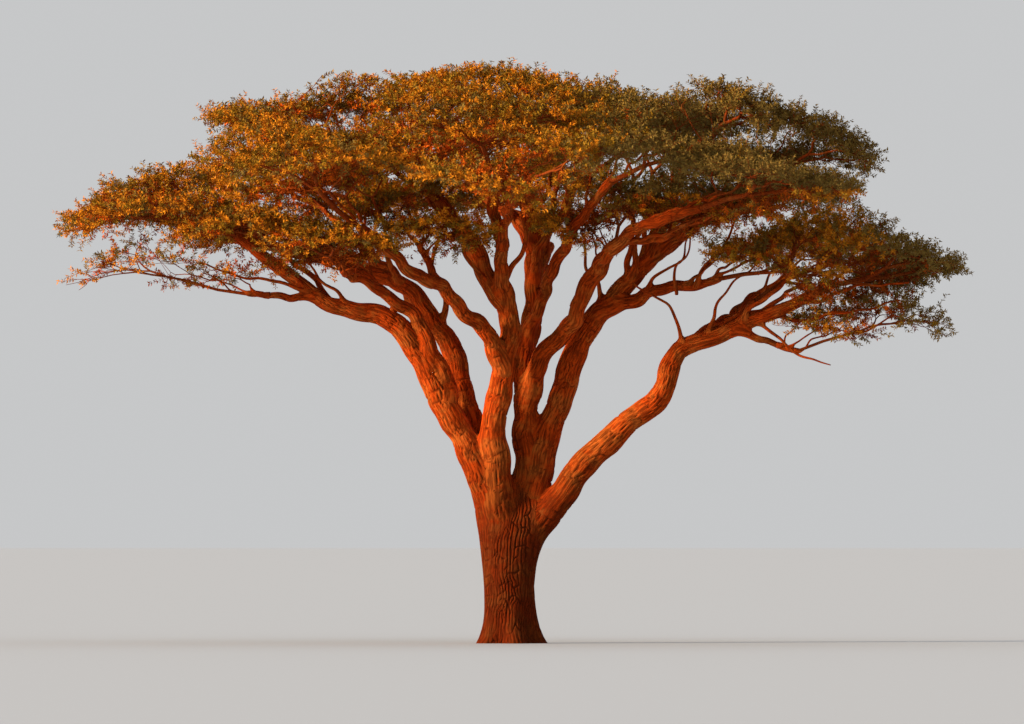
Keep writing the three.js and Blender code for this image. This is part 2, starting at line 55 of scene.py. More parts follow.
camera_data = bpy.data.cameras.new("camera")
camera_data.sensor_width = 36
camera_data.lens = camera_data.sensor_width * -VIEW_FROM[1] / VIEW_WIDTH
camera_data.clip_start, camera_data.clip_end = 1, 3000
camera = placed("camera", camera_data)
camera.location = VIEW_FROM
camera.rotation_euler = (math.pi / 2 + math.atan2(VIEW_ON[2] - VIEW_FROM[2], -VIEW_FROM[1]), 0, 0)
bpy.context.scene.camera = camera


# Lines of the boughs. Six boughs rise from the fork of the trunk and curve outwards, and the
# side limbs leave them along their own way and bend towards the mass of leaves that they
# carry. Every limb is stoutest at its foot, where a collar of wood joins it to its bearer.
GIRTH_FALL = 0.65
COLLAR = 0.35
COLLAR_FADE = 2.4  # in foot radii
FOOT_NARROWED, FOOT_EASED = 0.45, 1.1  # how much a foot narrows inside its bearer, and for how long
LEAVE_SHARE = 0.36
ARRIVE_SHARE = 0.3
LINE_STEPS = 240
CROOK = {"trunk": 0.022, "bough": 0.038}  # how far off its course a limb wanders, by its bearer
CROOK_WAVES = (1.35, 0.52)  # lengths of the long and the short wave of that
SHORT_WAVE_SHARE = 0.45
CROOK_SEED = 300

# Each limb: what bears it, its radius at foot and end, then a route of points, or the place on
# its bearer and its tip; last the mass of leaves at its tip, its middle and reach, and how
# leafy it is.
LIMBS = {
    "bough_left_outer": ("trunk", 0.250, 0.078, [(-0.12, -0.06, 1.5), (-0.43, -0.15, 2.76),
        (-1.29, -0.33, 4.46), (-1.74, -0.40, 5.31), (-2.17, -0.43, 5.64), (-2.72, -0.48, 5.73),
        (-3.32, -0.54, 6.00), (-4.70, -0.65, 7.05)],
        "crown_left_outer", (-5.78, -0.50, 7.50), (2.05, 1.60, 0.80), 1.15),
    "bough_left_low": ("bough_left_outer", 0.076, 0.038, (0.84, (-4.48, -0.98, 6.01)),
        "crown_left_fringe", (-5.95, -1.05, 6.46), (1.80, 1.15, 0.62), 0.26),
    "bough_left_front": ("bough_left_outer", 0.150, 0.058, [(-0.98, -0.28, 3.90),
        (-1.12, -0.34, 4.60), (-1.44, -0.44, 5.33), (-1.82, -0.56, 5.80), (-2.25, -0.78, 6.14),
        (-2.98, -1.13, 6.62)],
        "crown_left_inner", (-4.10, -1.35, 7.06), (1.80, 1.50, 0.95), 1.30),
    "bough_low_left": ("bough_left_front", 0.072, 0.042, (0.74, (-2.86, -1.72, 6.40)),
        "crown_low_left", (-3.00, -2.35, 6.84), (1.35, 1.15, 0.60), 1.30),
    "bough_left_inner": ("trunk", 0.235, 0.072, [(-0.15, 0.06, 1.50), (-0.48, 0.12, 2.95),
        (-0.76, 0.27, 4.23), (-0.96, 0.43, 5.00), (-1.30, 0.62, 5.60), (-1.80, 0.87, 6.16),
        (-2.85, 1.20, 6.60), (-4.60, 1.70, 7.00)],
        "crown_left_back", (-5.75, 2.05, 7.40), (1.95, 1.80, 0.78), 1.00),
    "bough_back_left": ("bough_left_inner", 0.135, 0.060, (0.40, (-3.05, 2.85, 7.40)),
        "crown_back_left", (-3.70, 3.40, 8.06), (2.05, 2.00, 0.86), 1.05),
    "bough_centre": ("trunk", 0.255, 0.082, [(-0.04, -0.11, 1.50), (-0.20, -0.23, 2.90),
        (-0.25, -0.35, 3.78), (-0.09, -0.47, 4.69), (0.02, -0.54, 5.50), (-0.34, -0.56, 6.29),
        (-0.77, -0.60, 7.10), (-1.85, -0.70, 8.43)],
        "crown_top_left", (-3.35, -0.70, 8.88), (2.02, 1.95, 0.92), 1.25),
    "bough_crossing_left": ("bough_centre", 0.148, 0.060, (0.42, (-2.55, -2.80, 7.12)),
        "crown_front_left", (-3.35, -3.60, 8.10), (1.95, 1.82, 0.88), 1.05),
    "bough_inner_left": ("bough_crossing_left", 0.076, 0.042, (0.50, (-1.56, -1.15, 6.88)),
        "crown_inner_left", (-1.62, -1.60, 7.30), (1.48, 1.30, 0.86), 1.60),
    "bough_front": ("bough_centre", 0.142, 0.060, (0.60, (-0.35, -2.30, 8.08)),
        "crown_top_front", (-0.60, -3.20, 8.72), (2.05, 1.90, 0.92), 1.00),
    "bough_front_low": ("bough_front", 0.088, 0.048, (0.42, (0.15, -4.60, 7.65)),
        "crown_front", (0.30, -5.45, 7.98), (1.98, 1.56, 0.76), 1.00),
    "bough_centre_back": ("trunk", 0.245, 0.080, [(0.10, 0.07, 1.50), (0.31, 0.17, 2.90),
        (0.30, 0.27, 3.78), (0.27, 0.36, 4.69), (0.37, 0.42, 5.50), (0.46, 0.42, 6.25),
        (0.40, 0.35, 7.40), (0.19, 0.25, 8.43)],
        "crown_top", (0.40, 0.05, 9.17), (2.20, 2.00, 0.87), 1.25),
    "bough_crossing_right": ("bough_centre_back", 0.118, 0.058, (0.50, (1.75, -2.48, 7.92)),
        "crown_top_front_right", (2.60, -3.20, 8.54), (1.85, 1.82, 0.90), 1.00),
    "bough_back": ("bough_centre_back", 0.118, 0.052, (0.50, (0.50, 4.85, 7.50)),
        "crown_back", (-0.20, 5.72, 8.00), (2.10, 1.60, 0.78), 1.00),
    "bough_top_back_left": ("bough_centre_back", 0.108, 0.058, (0.78, (-1.15, 2.30, 8.26)),
        "crown_top_back_left", (-1.60, 2.90, 8.98), (2.15, 2.10, 0.96), 1.00),
    "bough_top_back_right": ("bough_centre_back", 0.110, 0.058, (0.70, (1.25, 2.40, 8.08)),
        "crown_top_back_right", (1.80, 3.10, 8.98), (2.15, 2.10, 0.96), 1.00),
    "bough_right_inner": ("bough_centre_back", 0.178, 0.062, [(0.30, 0.30, 4.00),
        (0.56, -0.06, 4.90), (1.15, -0.50, 5.60), (1.40, -0.86, 6.30), (2.10, -2.00, 7.05),
        (3.28, -3.35, 7.43)],
        "crown_front_right", (4.20, -4.05, 7.86), (1.85, 1.75, 0.82), 1.00),
    "bough_inner_right": ("bough_right_inner", 0.078, 0.044, (0.46, (1.80, -0.78, 6.76)),
        "crown_inner_right", (1.68, -1.15, 7.38), (1.38, 1.20, 0.82), 1.50),
    "bough_low_right": ("bough_right_inner", 0.076, 0.042, (0.72, (2.78, -1.82, 7.02)),
        "crown_low_right", (3.40, -2.05, 7.45), (1.25, 1.10, 0.60), 1.30),
    "bough_right": ("trunk", 0.265, 0.080, [(0.20, 0.06, 1.5), (0.52, 0.11, 2.90),
        (0.78, 0.16, 3.90), (1.32, 0.23, 5.37), (1.90, 0.24, 6.05), (2.35, 0.24, 6.60),
        (3.05, 0.18, 8.23)],
        "crown_top_right", (3.20, 0.20, 8.90), (1.95, 2.05, 0.88), 1.10),
    "bough_right_middle": ("bough_right", 0.132, 0.056, (0.55, (3.65, -0.50, 6.29)),
        "crown_right_inner", (4.75, -0.90, 6.54), (1.45, 1.35, 0.88), 1.10),
    "bough_far_right": ("bough_right", 0.108, 0.058, (0.80, (4.10, 0.45, 7.93)),
        "crown_top_far_right", (4.85, 0.65, 8.44), (1.65, 1.85, 0.86), 1.15),
    "bough_back_right": ("bough_right", 0.132, 0.058, (0.48, (3.30, 3.25, 7.29)),
        "crown_back_right", (4.05, 3.90, 7.84), (2.05, 1.98, 0.84), 1.00),
    "bough_right_outer": ("trunk", 0.250, 0.076, [(0.24, -0.06, 1.5), (0.90, -0.17, 2.56),
        (1.80, -0.23, 3.59), (2.52, -0.26, 4.15), (2.83, -0.27, 4.87), (3.20, -0.285, 5.18),
        (4.01, -0.33, 5.46), (5.30, -0.45, 6.04)],
        "crown_right_outer", (6.18, -0.40, 6.54), (1.72, 1.60, 0.97), 1.15),
    "bough_right_low": ("bough_right_outer", 0.074, 0.038, (0.83, (5.00, -0.24, 5.05)),
        "crown_right_fringe", (6.15, -0.20, 5.62), (1.60, 1.20, 0.58), 0.58),
    "bough_right_back": ("bough_right_outer", 0.114, 0.056, (0.66, (4.85, 2.00, 6.34)),
        "crown_right_back", (5.78, 2.50, 6.78), (1.82, 1.75, 0.80), 1.00),
}


def unit(vectors):
    """Each vector divided by its length."""
    return vectors / np.maximum(np.linalg.norm(vectors, axis=-1, keepdims=True), 1e-9)


def through(route, share):
    """A smooth line through a route: between two points a cubic, whose slope at each is half the
    step from the point before it to the point after it.
    """
    route = np.array(route, float)
    route = np.vstack([2 * route[0] - route[1], route, 2 * route[-1] - route[-2]])
    place = share * (len(route) - 3)
    at = np.minimum(place.astype(int), len(route) - 4)
    t = (place - at)[:, None]
    a, b, c, d = (route[at + k] for k in range(4))
    slope, last_slope = (c - a) / 2, (d - b) / 2
    return (b + slope * t + (3 * (c - b) - 2 * slope - last_slope) * t**2
            + (2 * (b - c) + slope + last_slope) * t**3)


def bending(start, leave, tip, arrive, share):
    """A cubic curve from start to tip, that sets out along leave and comes in along arrive."""
    t = share[:, None]
    reach = np.linalg.norm(tip - start)
    first, second = start + leave * reach * LEAVE_SHARE, tip - arrive * reach * ARRIVE_SHARE
    return ((1 - t)**3 * start + 3 * (1 - t)**2 * t * first + 3 * (1 - t) * t**2 * second
            + t**3 * tip)


def smooth(value, low, high):
    """A step from 0 at low to 1 at high, by 3t squared minus 2t cubed."""
    share = np.clip((value - low) / (high - low), 0, 1)
    return share * share * (3 - 2 * share)


def distance_along(points):
    """How far each point of a line is from its start, measured along it."""
    return np.r_[0, np.cumsum(np.linalg.norm(np.diff(points, axis=0), axis=1))]


def crooked(points, amount, seed):
    """A line pushed off its course by a long and a short sine wave along it, each way by its own
    phase, and not at all at its two ends.
    """
    run = distance_along(points)[:, None]
    phases = np.random.default_rng(seed).uniform(0, 2 * math.pi, (2, 3))
    waves = (np.sin(2 * math.pi * run / CROOK_WAVES[0] + phases[0])
             + SHORT_WAVE_SHARE * np.sin(2 * math.pi * run / CROOK_WAVES[1] + phases[1]))
    return points + amount * np.sqrt(np.sin(math.pi * np.clip(run / run[-1], 0, 0.999999))) * waves


share_steps = np.linspace(0, 1, LINE_STEPS + 1)
limbs = {}
for name, (bearer, foot, end, way, crown, middle, reach, leafiness) in LIMBS.items():
    if isinstance(way, list):
        points = through(way, share_steps)
    else:
        parent, (at, tip) = limbs[bearer], way
        start = np.array([np.interp(at, share_steps, parent["points"][:, k]) for k in range(3)])
        parent_way = unit(np.gradient(parent["points"], axis=0))
        own_way = unit(np.array([np.interp(at, share_steps, parent_way[:, k]) for k in range(3)]))
        ahead = unit(np.array(tip) - start)
        points = bending(start, unit(own_way + ahead), np.array(tip),
                         unit(unit(np.array(middle) - tip) + ahead), share_steps)
    points = crooked(points, CROOK[bearer.split("_")[0]], CROOK_SEED + len(limbs))
    run = distance_along(points)
    along = share_steps * run[-1] / (foot * COLLAR_FADE)
    collar = 1 if bearer == "trunk" else 1 + COLLAR * np.exp(-along)
    collar = collar * (1 - FOOT_NARROWED * (1 - smooth(along, 0, FOOT_EASED)))
    limbs[name] = {
        "bearer": bearer, "root": name if bearer == "trunk" else limbs[bearer]["root"],
        "points": points, "run": run,
        "radius": (end + (foot - end) * (1 - share_steps) ** GIRTH_FALL) * collar,
        "crown": crown, "middle": np.array(middle), "reach": np.array(reach), "leafiness": leafiness,
    }


# Trunk. A short stout trunk of fissured bark with five root swellings. The boughs stand on it
# like ribs: each swells out of the trunk below the fork, and the wood webs over between them.
TRUNK_WAIST = 0.425
TRUNK_RINGS = np.array([  # height, middle x and y, half widths as shares of the waist
    (0.00, 0.000, 0.000, 1.04, 1.02), (0.32, 0.000, 0.000, 1.01, 1.00),
    (0.62, -0.004, 0.000, 1.00, 0.98), (0.98, 0.000, -0.006, 1.00, 0.97),
    (1.35, 0.014, -0.010, 1.08, 1.00), (1.72, 0.044, -0.012, 1.20, 1.05),
    (2.08, 0.084, 0.000, 1.30, 1.02), (2.36, 0.120, 0.040, 1.30, 0.86),
    (2.60, 0.140, 0.090, 1.16, 0.62), (2.90, 0.150, 0.140, 0.95, 0.40)])
TRUNK_TOP = 2.92
CLOSING = 0.60  # height over which the wood closes between the boughs
FORK_END = 4.6  # the height at which the boughs have parted
FILLET, LIMB_FILLET = 0.060, 0.028  # how softly the wood runs together, at the fork and above it
WEB_AT_TRUNK, WEB_AT_BOUGH = 0.30, 0.22  # the most that wood webs out of a skin at the fork
SUNK = 0.05  # how deep a skin lies where another limb's skin stands out further
GROWTH_STEPS, GROWTH_PACE = 10, 0.9
SEAM_REACH = 0.10  # how far from a joint's middle its bark is still smoothed
SEAM_SMOOTHED = 0.6
ROOT_FLARE, ROOT_FLARE_FADE, ROOT_COUNT = 0.21, 0.33, 5
FLUTE_DEPTH, FLUTE_WIND = 0.035, 0.9
TRUNK_LUMPS, LUMPS_AROUND, LUMP_HEIGHT = 0.05, 6, 0.55
TRUNK_LUMP_SEED, TRUNK_BARK_SEED = 5, 11
TRUNK_GRID = (190, 240)  # rows and sides
ROWS_CROWDED = 1.35  # over 1 crowds the rows towards the fork
BARK_RIDGE, BARK_PLATE = 0.056, 0.20  # from one ridge to the next round the limb, and up it
BARK_DEPTH = 0.024
RIDGE_PUSHES = ((2.6, 0.42), (0.9, 0.13))  # in ridges, and the height of a wave, long and short
FURROW_WIDTH = (0.02, 0.66)  # of the sine's size: where a furrow is deepest, and where it ends
DEEP_STRETCH = 0.2  # height over which the furrows turn from deep to shallow
DEEPENING = (0.15, 0.70)
SHALLOWEST = 0.35
PLATE_PUSH = (2.2, 0.5)  # in plates, and the height of a wave
CRACK_WIDTH = (0.05, 0.45)
CRACK_STRETCH, CRACKED, CRACK_DEPTH = 0.12, (0.35, 0.70), 0.85
LATTICE_ROWS = 509


def lattice(u, v, around, seed):
    """Smooth noise from 0 to 1: random heights on a lattice that closes on itself after `around`
    cells of u, and between them a mix by 3t squared minus 2t cubed each way.
    """
    heights = np.random.default_rng(seed).random((around, LATTICE_ROWS))
    iu, iv = np.floor(u).astype(int), np.floor(v).astype(int)
    tu, tv = u - iu, v - iv
    tu, tv = tu * tu * (3 - 2 * tu), tv * tv * (3 - 2 * tv)
    row, next_row = iv % LATTICE_ROWS, (iv + 1) % LATTICE_ROWS
    low = heights[iu % around, row] * (1 - tu) + heights[(iu + 1) % around, row] * tu
    high = heights[iu % around, next_row] * (1 - tu) + heights[(iu + 1) % around, next_row] * tu
    return low * (1 - tv) + high * tv


def bark_relief(turn, along, girth, seed):
    """How deep the bark is cut, from 0 on a ridge to 1 in a furrow. turn runs from 0 to 1 round the
    limb. Even ridges stand round it, as the size of a sine with one half wave to a ridge. A long
    and a short noise push them from side to side, so that the furrows wind, part and run together,
    and another noise makes them deep here and shallow there. Cross cracks, likewise a sine up the
    limb that noise pushes up and down, part the ridges into plates where a last noise is high.
    """
    around = 4 * max(2, int(round(math.pi * girth / BARK_RIDGE / 2)))
    (far, far_height), (near, near_height) = RIDGE_PUSHES
    half_around = turn * around / 2
    push = far * (lattice(turn * around / 4, along / far_height, around // 4, seed + 1) - 0.5)
    push = push + near * (lattice(half_around, along / near_height, around // 2, seed + 2) - 0.5)
    ridge = np.abs(np.sin(math.pi * (turn * around + push)))
    deep = lattice(half_around, along / DEEP_STRETCH, around // 2, seed + 3)
    furrow = (1 - smooth(ridge, *FURROW_WIDTH)) * (
        SHALLOWEST + (1 - SHALLOWEST) * smooth(deep, *DEEPENING))
    climb = along / BARK_PLATE + PLATE_PUSH[0] * lattice(
        half_around, along / PLATE_PUSH[1], around // 2, seed + 4)
    cracked = smooth(lattice(half_around, along / CRACK_STRETCH, around // 2, seed + 6), *CRACKED)
    cross = (1 - smooth(np.abs(np.sin(math.pi * climb)), *CRACK_WIDTH)) * cracked * CRACK_DEPTH
    return np.maximum(furrow, cross)


def closed_grid(rows, sides):
    """Faces of a tube of rows by sides points, then two middle points that close its ends."""
    row, side = np.meshgrid(np.arange(rows - 1), np.arange(sides), indexing="ij")
    a = (row * sides + side).ravel()
    b = (row * sides + (side + 1) % sides).ravel()
    quads = np.stack([a, b, b + sides, a + sides], axis=1)
    ring = np.arange(sides)
    ahead = (ring + 1) % sides
    last = (rows - 1) * sides
    first_cap = np.stack([ahead, ring, np.full(sides, rows * sides)], axis=1)
    last_cap = np.stack([last + ring, last + ahead, np.full(sides, rows * sides + 1)], axis=1)
    return quads, np.vstack([first_cap, last_cap])


def make_piece(name, points, quads, triangles, material, slot, **attributes):
    """A mesh from whole arrays of points and faces, with named values at its points."""
    mesh = bpy.data.meshes.new(name)
    corners = np.concatenate([quads.ravel(), triangles.ravel()]).astype(np.int32)
    sizes = np.r_[np.full(len(quads), 4), np.full(len(triangles), 3)]
    mesh.vertices.add(len(points))
    mesh.vertices.foreach_set("co", points.astype(np.float32).ravel())
    mesh.loops.add(len(corners))
    mesh.loops.foreach_set("vertex_index", corners)
    mesh.polygons.add(len(sizes))
    mesh.polygons.foreach_set("loop_start", np.r_[0, np.cumsum(sizes)[:-1]].astype(np.int32))
    mesh.polygons.foreach_set("use_smooth", np.ones(len(sizes), bool))
    for title, values in attributes.items():
        vector = values.ndim == 2
        kept = mesh.attributes.new(title, "FLOAT_VECTOR" if vector else "FLOAT", "POINT")
        kept.data.foreach_set("vector" if vector else "value", values.astype(np.float32).ravel())
    mesh.update(calc_edges=True)
    mesh.validate()
    mesh.materials.append(material)
    piece = placed(name, mesh)
    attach(piece, "root")
    return piece


def node_group(name, inputs, outputs):
    """An empty group of nodes with named inputs and outputs, each of its kind."""
    group = bpy.data.node_groups.new(name, "ShaderNodeTree")
    for way, sockets in (("INPUT", inputs), ("OUTPUT", outputs)):
        for title, kind in sockets.items():
            group.interface.new_socket(name=title, in_out=way, socket_type="NodeSocket" + kind)
    return group


def wire(tree, kind, inputs=None, **settings):
    """Adds a node, sets it up, and links or sets its inputs."""
    node = tree.nodes.new(kind)
    for key, value in settings.items():
        setattr(node, key, value)
    for key, value in (inputs or {}).items():
        if isinstance(value, bpy.types.NodeSocket):
            tree.links.new(value, node.inputs[key])
        else:
            node.inputs[key].default_value = value
    return node


def colour(red, green, blue):
    """A colour given as on a screen, from 0 to 255, turned into light."""
    screen = np.array([red, green, blue]) / 255
    light = np.where(screen > 0.04045, ((screen + 0.055) / 1.055) ** 2.4, screen / 12.92)
    return (*light, 1.0)


# Bark is dark in its fissures and redder and paler on its plates, with weathered patches, and
# low on the tree painted shade darkens it, fading out upwards. The grain is a place on the limb
# as if it were straight, so that the pattern follows the wood.
bark_plates = node_group("bark_plates", {
    "Grain": "Vector", "Fissure": "Float", "Age": "Float", "Streak Scale": "Float",
    "Plate Colour": "Color", "Weathered Colour": "Color", "Fissure Colour": "Color",
    "Painted Shade Tint": "Color"}, {"Color": "Color", "Roughness": "Float", "Height": "Float"})
given = wire(bark_plates, "NodeGroupInput")
stretched = wire(bark_plates, "ShaderNodeVectorMath", {0: given.outputs["Grain"], 1: (1, 1, 0.10)},
                 operation="MULTIPLY")
long_noise = wire(bark_plates, "ShaderNodeTexNoise", {
    "Vector": stretched.outputs[0], "Scale": given.outputs["Streak Scale"], "Detail": 4.0,
    "Roughness": 0.6, "Distortion": 0.2})
crack = wire(bark_plates, "ShaderNodeMapRange", {
    "Value": long_noise.outputs["Fac"], "From Min": 0.38, "From Max": 0.58, "To Min": 0.68,
    "To Max": 0.0}, interpolation_type="SMOOTHSTEP")
depth = wire(bark_plates, "ShaderNodeMath", {0: crack.outputs[0], 1: given.outputs["Fissure"]},
             operation="MAXIMUM")
patches = wire(bark_plates, "ShaderNodeTexNoise", {
    "Vector": given.outputs["Grain"], "Scale": 2.6, "Detail": 4.0, "Roughness": 0.65})
patch_mask = wire(bark_plates, "ShaderNodeMapRange", {
    "Value": patches.outputs["Fac"], "From Min": 0.42, "From Max": 0.66},
    interpolation_type="SMOOTHSTEP")
plates = wire(bark_plates, "ShaderNodeMix", {
    "Factor": patch_mask.outputs[0], 6: given.outputs["Plate Colour"],
    7: given.outputs["Weathered Colour"]}, data_type="RGBA")
# Painted shade: the bark colour is multiplied by a dark tint, most where the shade value is high, low on the
# tree.
painted_shade_mix = wire(bark_plates, "ShaderNodeMix", {
    "Factor": given.outputs["Age"], 6: plates.outputs[2], 7: given.outputs["Painted Shade Tint"]},
    data_type="RGBA", blend_type="MULTIPLY")
cut = wire(bark_plates, "ShaderNodeMix", {
    "Factor": depth.outputs[0], 6: painted_shade_mix.outputs[2], 7: given.outputs["Fissure Colour"]},
    data_type="RGBA")
grit = wire(bark_plates, "ShaderNodeTexNoise", {
    "Vector": given.outputs["Grain"], "Scale": 60.0, "Detail": 3.0})
lifted = wire(bark_plates, "ShaderNodeMath", {
    0: grit.outputs["Fac"], 1: 0.25, 2: 1.0}, operation="MULTIPLY_ADD")
height = wire(bark_plates, "ShaderNodeMath", {0: lifted.outputs[0], 1: depth.outputs[0]},
              operation="SUBTRACT")
rough = wire(bark_plates, "ShaderNodeMapRange", {
    "Value": depth.outputs[0], "To Min": 0.82, "To Max": 0.97})
wire(bark_plates, "NodeGroupOutput", {
    "Color": cut.outputs[2], "Roughness": rough.outputs[0], "Height": height.outputs[0]})


def group_material(name, group, shine, inputs, **attributes):
    """An opaque material whose colour and roughness come from a group of nodes. Its inputs are
    plain values and named attributes of the mesh, each with the output that is read.
    """
    material = bpy.data.materials.new(name)
    material.use_nodes = True
    tree = material.node_tree
    surface = tree.nodes["Principled BSDF"]
    surface.inputs["Specular IOR Level"].default_value = shine
    for title, output in attributes.items():
        read = wire(tree, "ShaderNodeAttribute", attribute_name=title)
        inputs[title.capitalize()] = read.outputs[output]
    look = wire(tree, "ShaderNodeGroup", inputs, node_tree=group)
    tree.links.new(look.outputs["Color"], surface.inputs["Base Color"])
    tree.links.new(look.outputs["Roughness"], surface.inputs["Roughness"])
    return material, look, surface


def bark_material(name, plate, weathered, fissure, streak_scale, bump):
    """Bark: the plates' group for colour, roughness and relief, on a dull surface."""
    material, look, surface = group_material(name, bark_plates, 0.03, {
        "Streak Scale": streak_scale, "Plate Colour": plate, "Weathered Colour": weathered,
        "Fissure Colour": fissure, "Painted Shade Tint": PAINTED_SHADE_TINT}, grain="Vector", fissure="Fac", age="Fac")
    relief = wire(material.node_tree, "ShaderNodeBump", {
        "Height": look.outputs["Height"], "Distance": bump, "Strength": 0.9})
    material.node_tree.links.new(relief.outputs[0], surface.inputs["Normal"])
    return material


# Painted shade that darkens the bark low on the trunk and the boughs, and fades out upwards between the two
# heights below.
PAINTED_SHADE_TINT = (0.30, 0.28, 0.26, 1)
PAINTED_SHADE_HEIGHTS = (1.7, 3.9)  # where the painted shade is deepest, and where it has faded out
old_bark = bark_material("old_bark", colour(176, 65, 15), colour(180, 90, 37),
                         colour(58, 19, 5), 34.0, 0.012)


def trunk_shell(angle, height):
    """The trunk's own radius: an ellipse of the rings' half widths, fluted and a little lumpy, with
    root swellings that die away upwards. Above the fork it closes by the root of one less a square.
    """
    wide_x, wide_y = (np.interp(height, TRUNK_RINGS[:, 0], TRUNK_RINGS[:, k]) for k in (3, 4))
    swelling = ROOT_FLARE * np.exp(-height / ROOT_FLARE_FADE) * (
        0.55 + 0.45 * np.cos(ROOT_COUNT * angle))
    shell = TRUNK_WAIST / np.sqrt((np.cos(angle) / wide_x) ** 2 + (np.sin(angle) / wide_y) ** 2)
    shell = shell * (1 + FLUTE_DEPTH * np.cos(3 * angle + height / FLUTE_WIND)) + swelling
    closing = np.clip((height - (TRUNK_TOP - CLOSING)) / CLOSING, 0, 1)
    lumps = lattice(angle / (2 * math.pi) * LUMPS_AROUND, height / LUMP_HEIGHT, LUMPS_AROUND,
                    TRUNK_LUMP_SEED) - 0.5
    return shell * (1 + TRUNK_LUMPS * lumps) * np.sqrt(1 - 0.995 * closing ** 2)


def outside_trunk(points):
    """How far points are outside the trunk, on the level from its middle, and above its top."""
    x, y = (points[..., k] - np.interp(points[..., 2], TRUNK_RINGS[:, 0], TRUNK_RINGS[:, k + 1])
            for k in (0, 1))
    return (np.hypot(x, y) - trunk_shell(np.arctan2(y, x), np.clip(points[..., 2], 0, TRUNK_TOP))
            + np.maximum(points[..., 2] - TRUNK_TOP, 0))


def outside_limb(points, limb, low, high):
    """How far points are outside a stretch of a limb: the least distance to the balls that it is
    made of, one at each step of its line, less their girth.
    """
    away = np.linalg.norm(points[..., None, :] - limb["points"][low:high:2], axis=-1)
    return (away - limb["radius"][low:high:2]).min(axis=-1)


def grown_together(line, outward, girth, others, fillet, most, start):
    """How far from its line the skin of a limb lies where it runs into others. Their distances mix
    by the logarithm of the sum of their exponentials, which fills the corner between them, and the
    skin is moved outwards until that mix is nought, by no more than the most allowed. Where another
    skin stands out further than this one, by more than the start, it sinks under that.
    """
    reach = girth + 0 * outward[..., 0]
    for _ in range(GROWTH_STEPS):
        spot = line + outward * reach[..., None]
        mine = reach - girth
        theirs = np.stack([outside(spot) for outside in others])
        mixed = -fillet * np.log(np.exp(-mine / fillet) + np.exp(-theirs / fillet).sum(axis=0))
        reach = np.clip(reach - GROWTH_PACE * mixed, girth, girth + most)
    under = mine - theirs.min(axis=0)
    seam = smooth(-np.abs(under), -SEAM_REACH, 0)
    return reach - SUNK * smooth(under, start, start + 2 * SUNK), seam


rows, sides = TRUNK_GRID
angle, trunk_height = np.meshgrid(
    2 * math.pi * np.arange(sides) / sides,
    TRUNK_TOP * (1 - (1 - np.linspace(0, 1, rows)) ** ROWS_CROWDED))
middle_x, middle_y = (np.interp(trunk_height, TRUNK_RINGS[:, 0], TRUNK_RINGS[:, k]) for k in (1, 2))
outward = np.stack([np.cos(angle), np.sin(angle), 0 * angle], axis=-1)
trunk_line = np.stack([middle_x, middle_y, trunk_height], axis=-1)
risers = [limb for limb in limbs.values() if limb["bearer"] == "trunk"]
fork_steps = {id(limb): int((limb["points"][:, 2] < FORK_END).sum()) for limb in risers}
trunk_radius, seam = grown_together(
    trunk_line, outward, trunk_shell(angle, trunk_height),
    [lambda spot, limb=limb: outside_limb(spot, limb, 0, fork_steps[id(limb)]) for limb in risers],
    FILLET, WEB_AT_TRUNK, 0.0)
closing = np.clip((trunk_height - (TRUNK_TOP - CLOSING)) / CLOSING, 0, 1)
fissure = bark_relief(angle / (2 * math.pi), trunk_height, TRUNK_WAIST, TRUNK_BARK_SEED)
fissure = fissure * (1 - SEAM_SMOOTHED * seam)
trunk_radius = trunk_radius - BARK_DEPTH * fissure * np.sqrt(1 - 0.99 * closing)
skin = (trunk_line + trunk_radius[..., None] * outward).reshape(-1, 3)
grain = (TRUNK_WAIST * outward + trunk_height[..., None] * (0, 0, 1)).reshape(-1, 3)
ends = np.array([(0.0, 0.0, 0.0), (middle_x[-1, 0], middle_y[-1, 0], TRUNK_TOP)])
quads, caps = closed_grid(rows, sides)
# The trunk's bark carries painted shade, darkest low down.
trunk_piece = make_piece(
    "trunk_bark", np.vstack([skin, ends]), quads, caps, old_bark, "bark",
    grain=np.vstack([grain, ends]), fissure=np.r_[fissure.ravel(), 0.5, 0.5],
    age=1 - smooth(np.r_[skin[:, 2], ends[:, 2]], *PAINTED_SHADE_HEIGHTS))
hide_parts("trunk")


# Boughs. Each is a living limb under the same bark, thinner and finer-plated the thinner it
# is, a little knobbed and crooked, and grown into its bearer at the foot by its collar.
RING_STEP, SIDE_STEP = 0.030, 0.018
JOINT = 2.0  # how far along a bough its foot can still touch its bearer
JOINT_WEB = 0.10  # the most that wood webs out of a bough's foot there
BEARER_STRETCH = (-1.2, 2.2)  # of the bearer, before and past the foot, that a limb can touch
KNOB, KNOB_LENGTH, KNOBS_AROUND = 0.10, 0.28, 3  # swellings, as a share of the girth
KNOBS_SMOOTHED = 0.8
FURROW_MOST = 0.12  # the deepest furrow on a thin limb, as a share of its girth


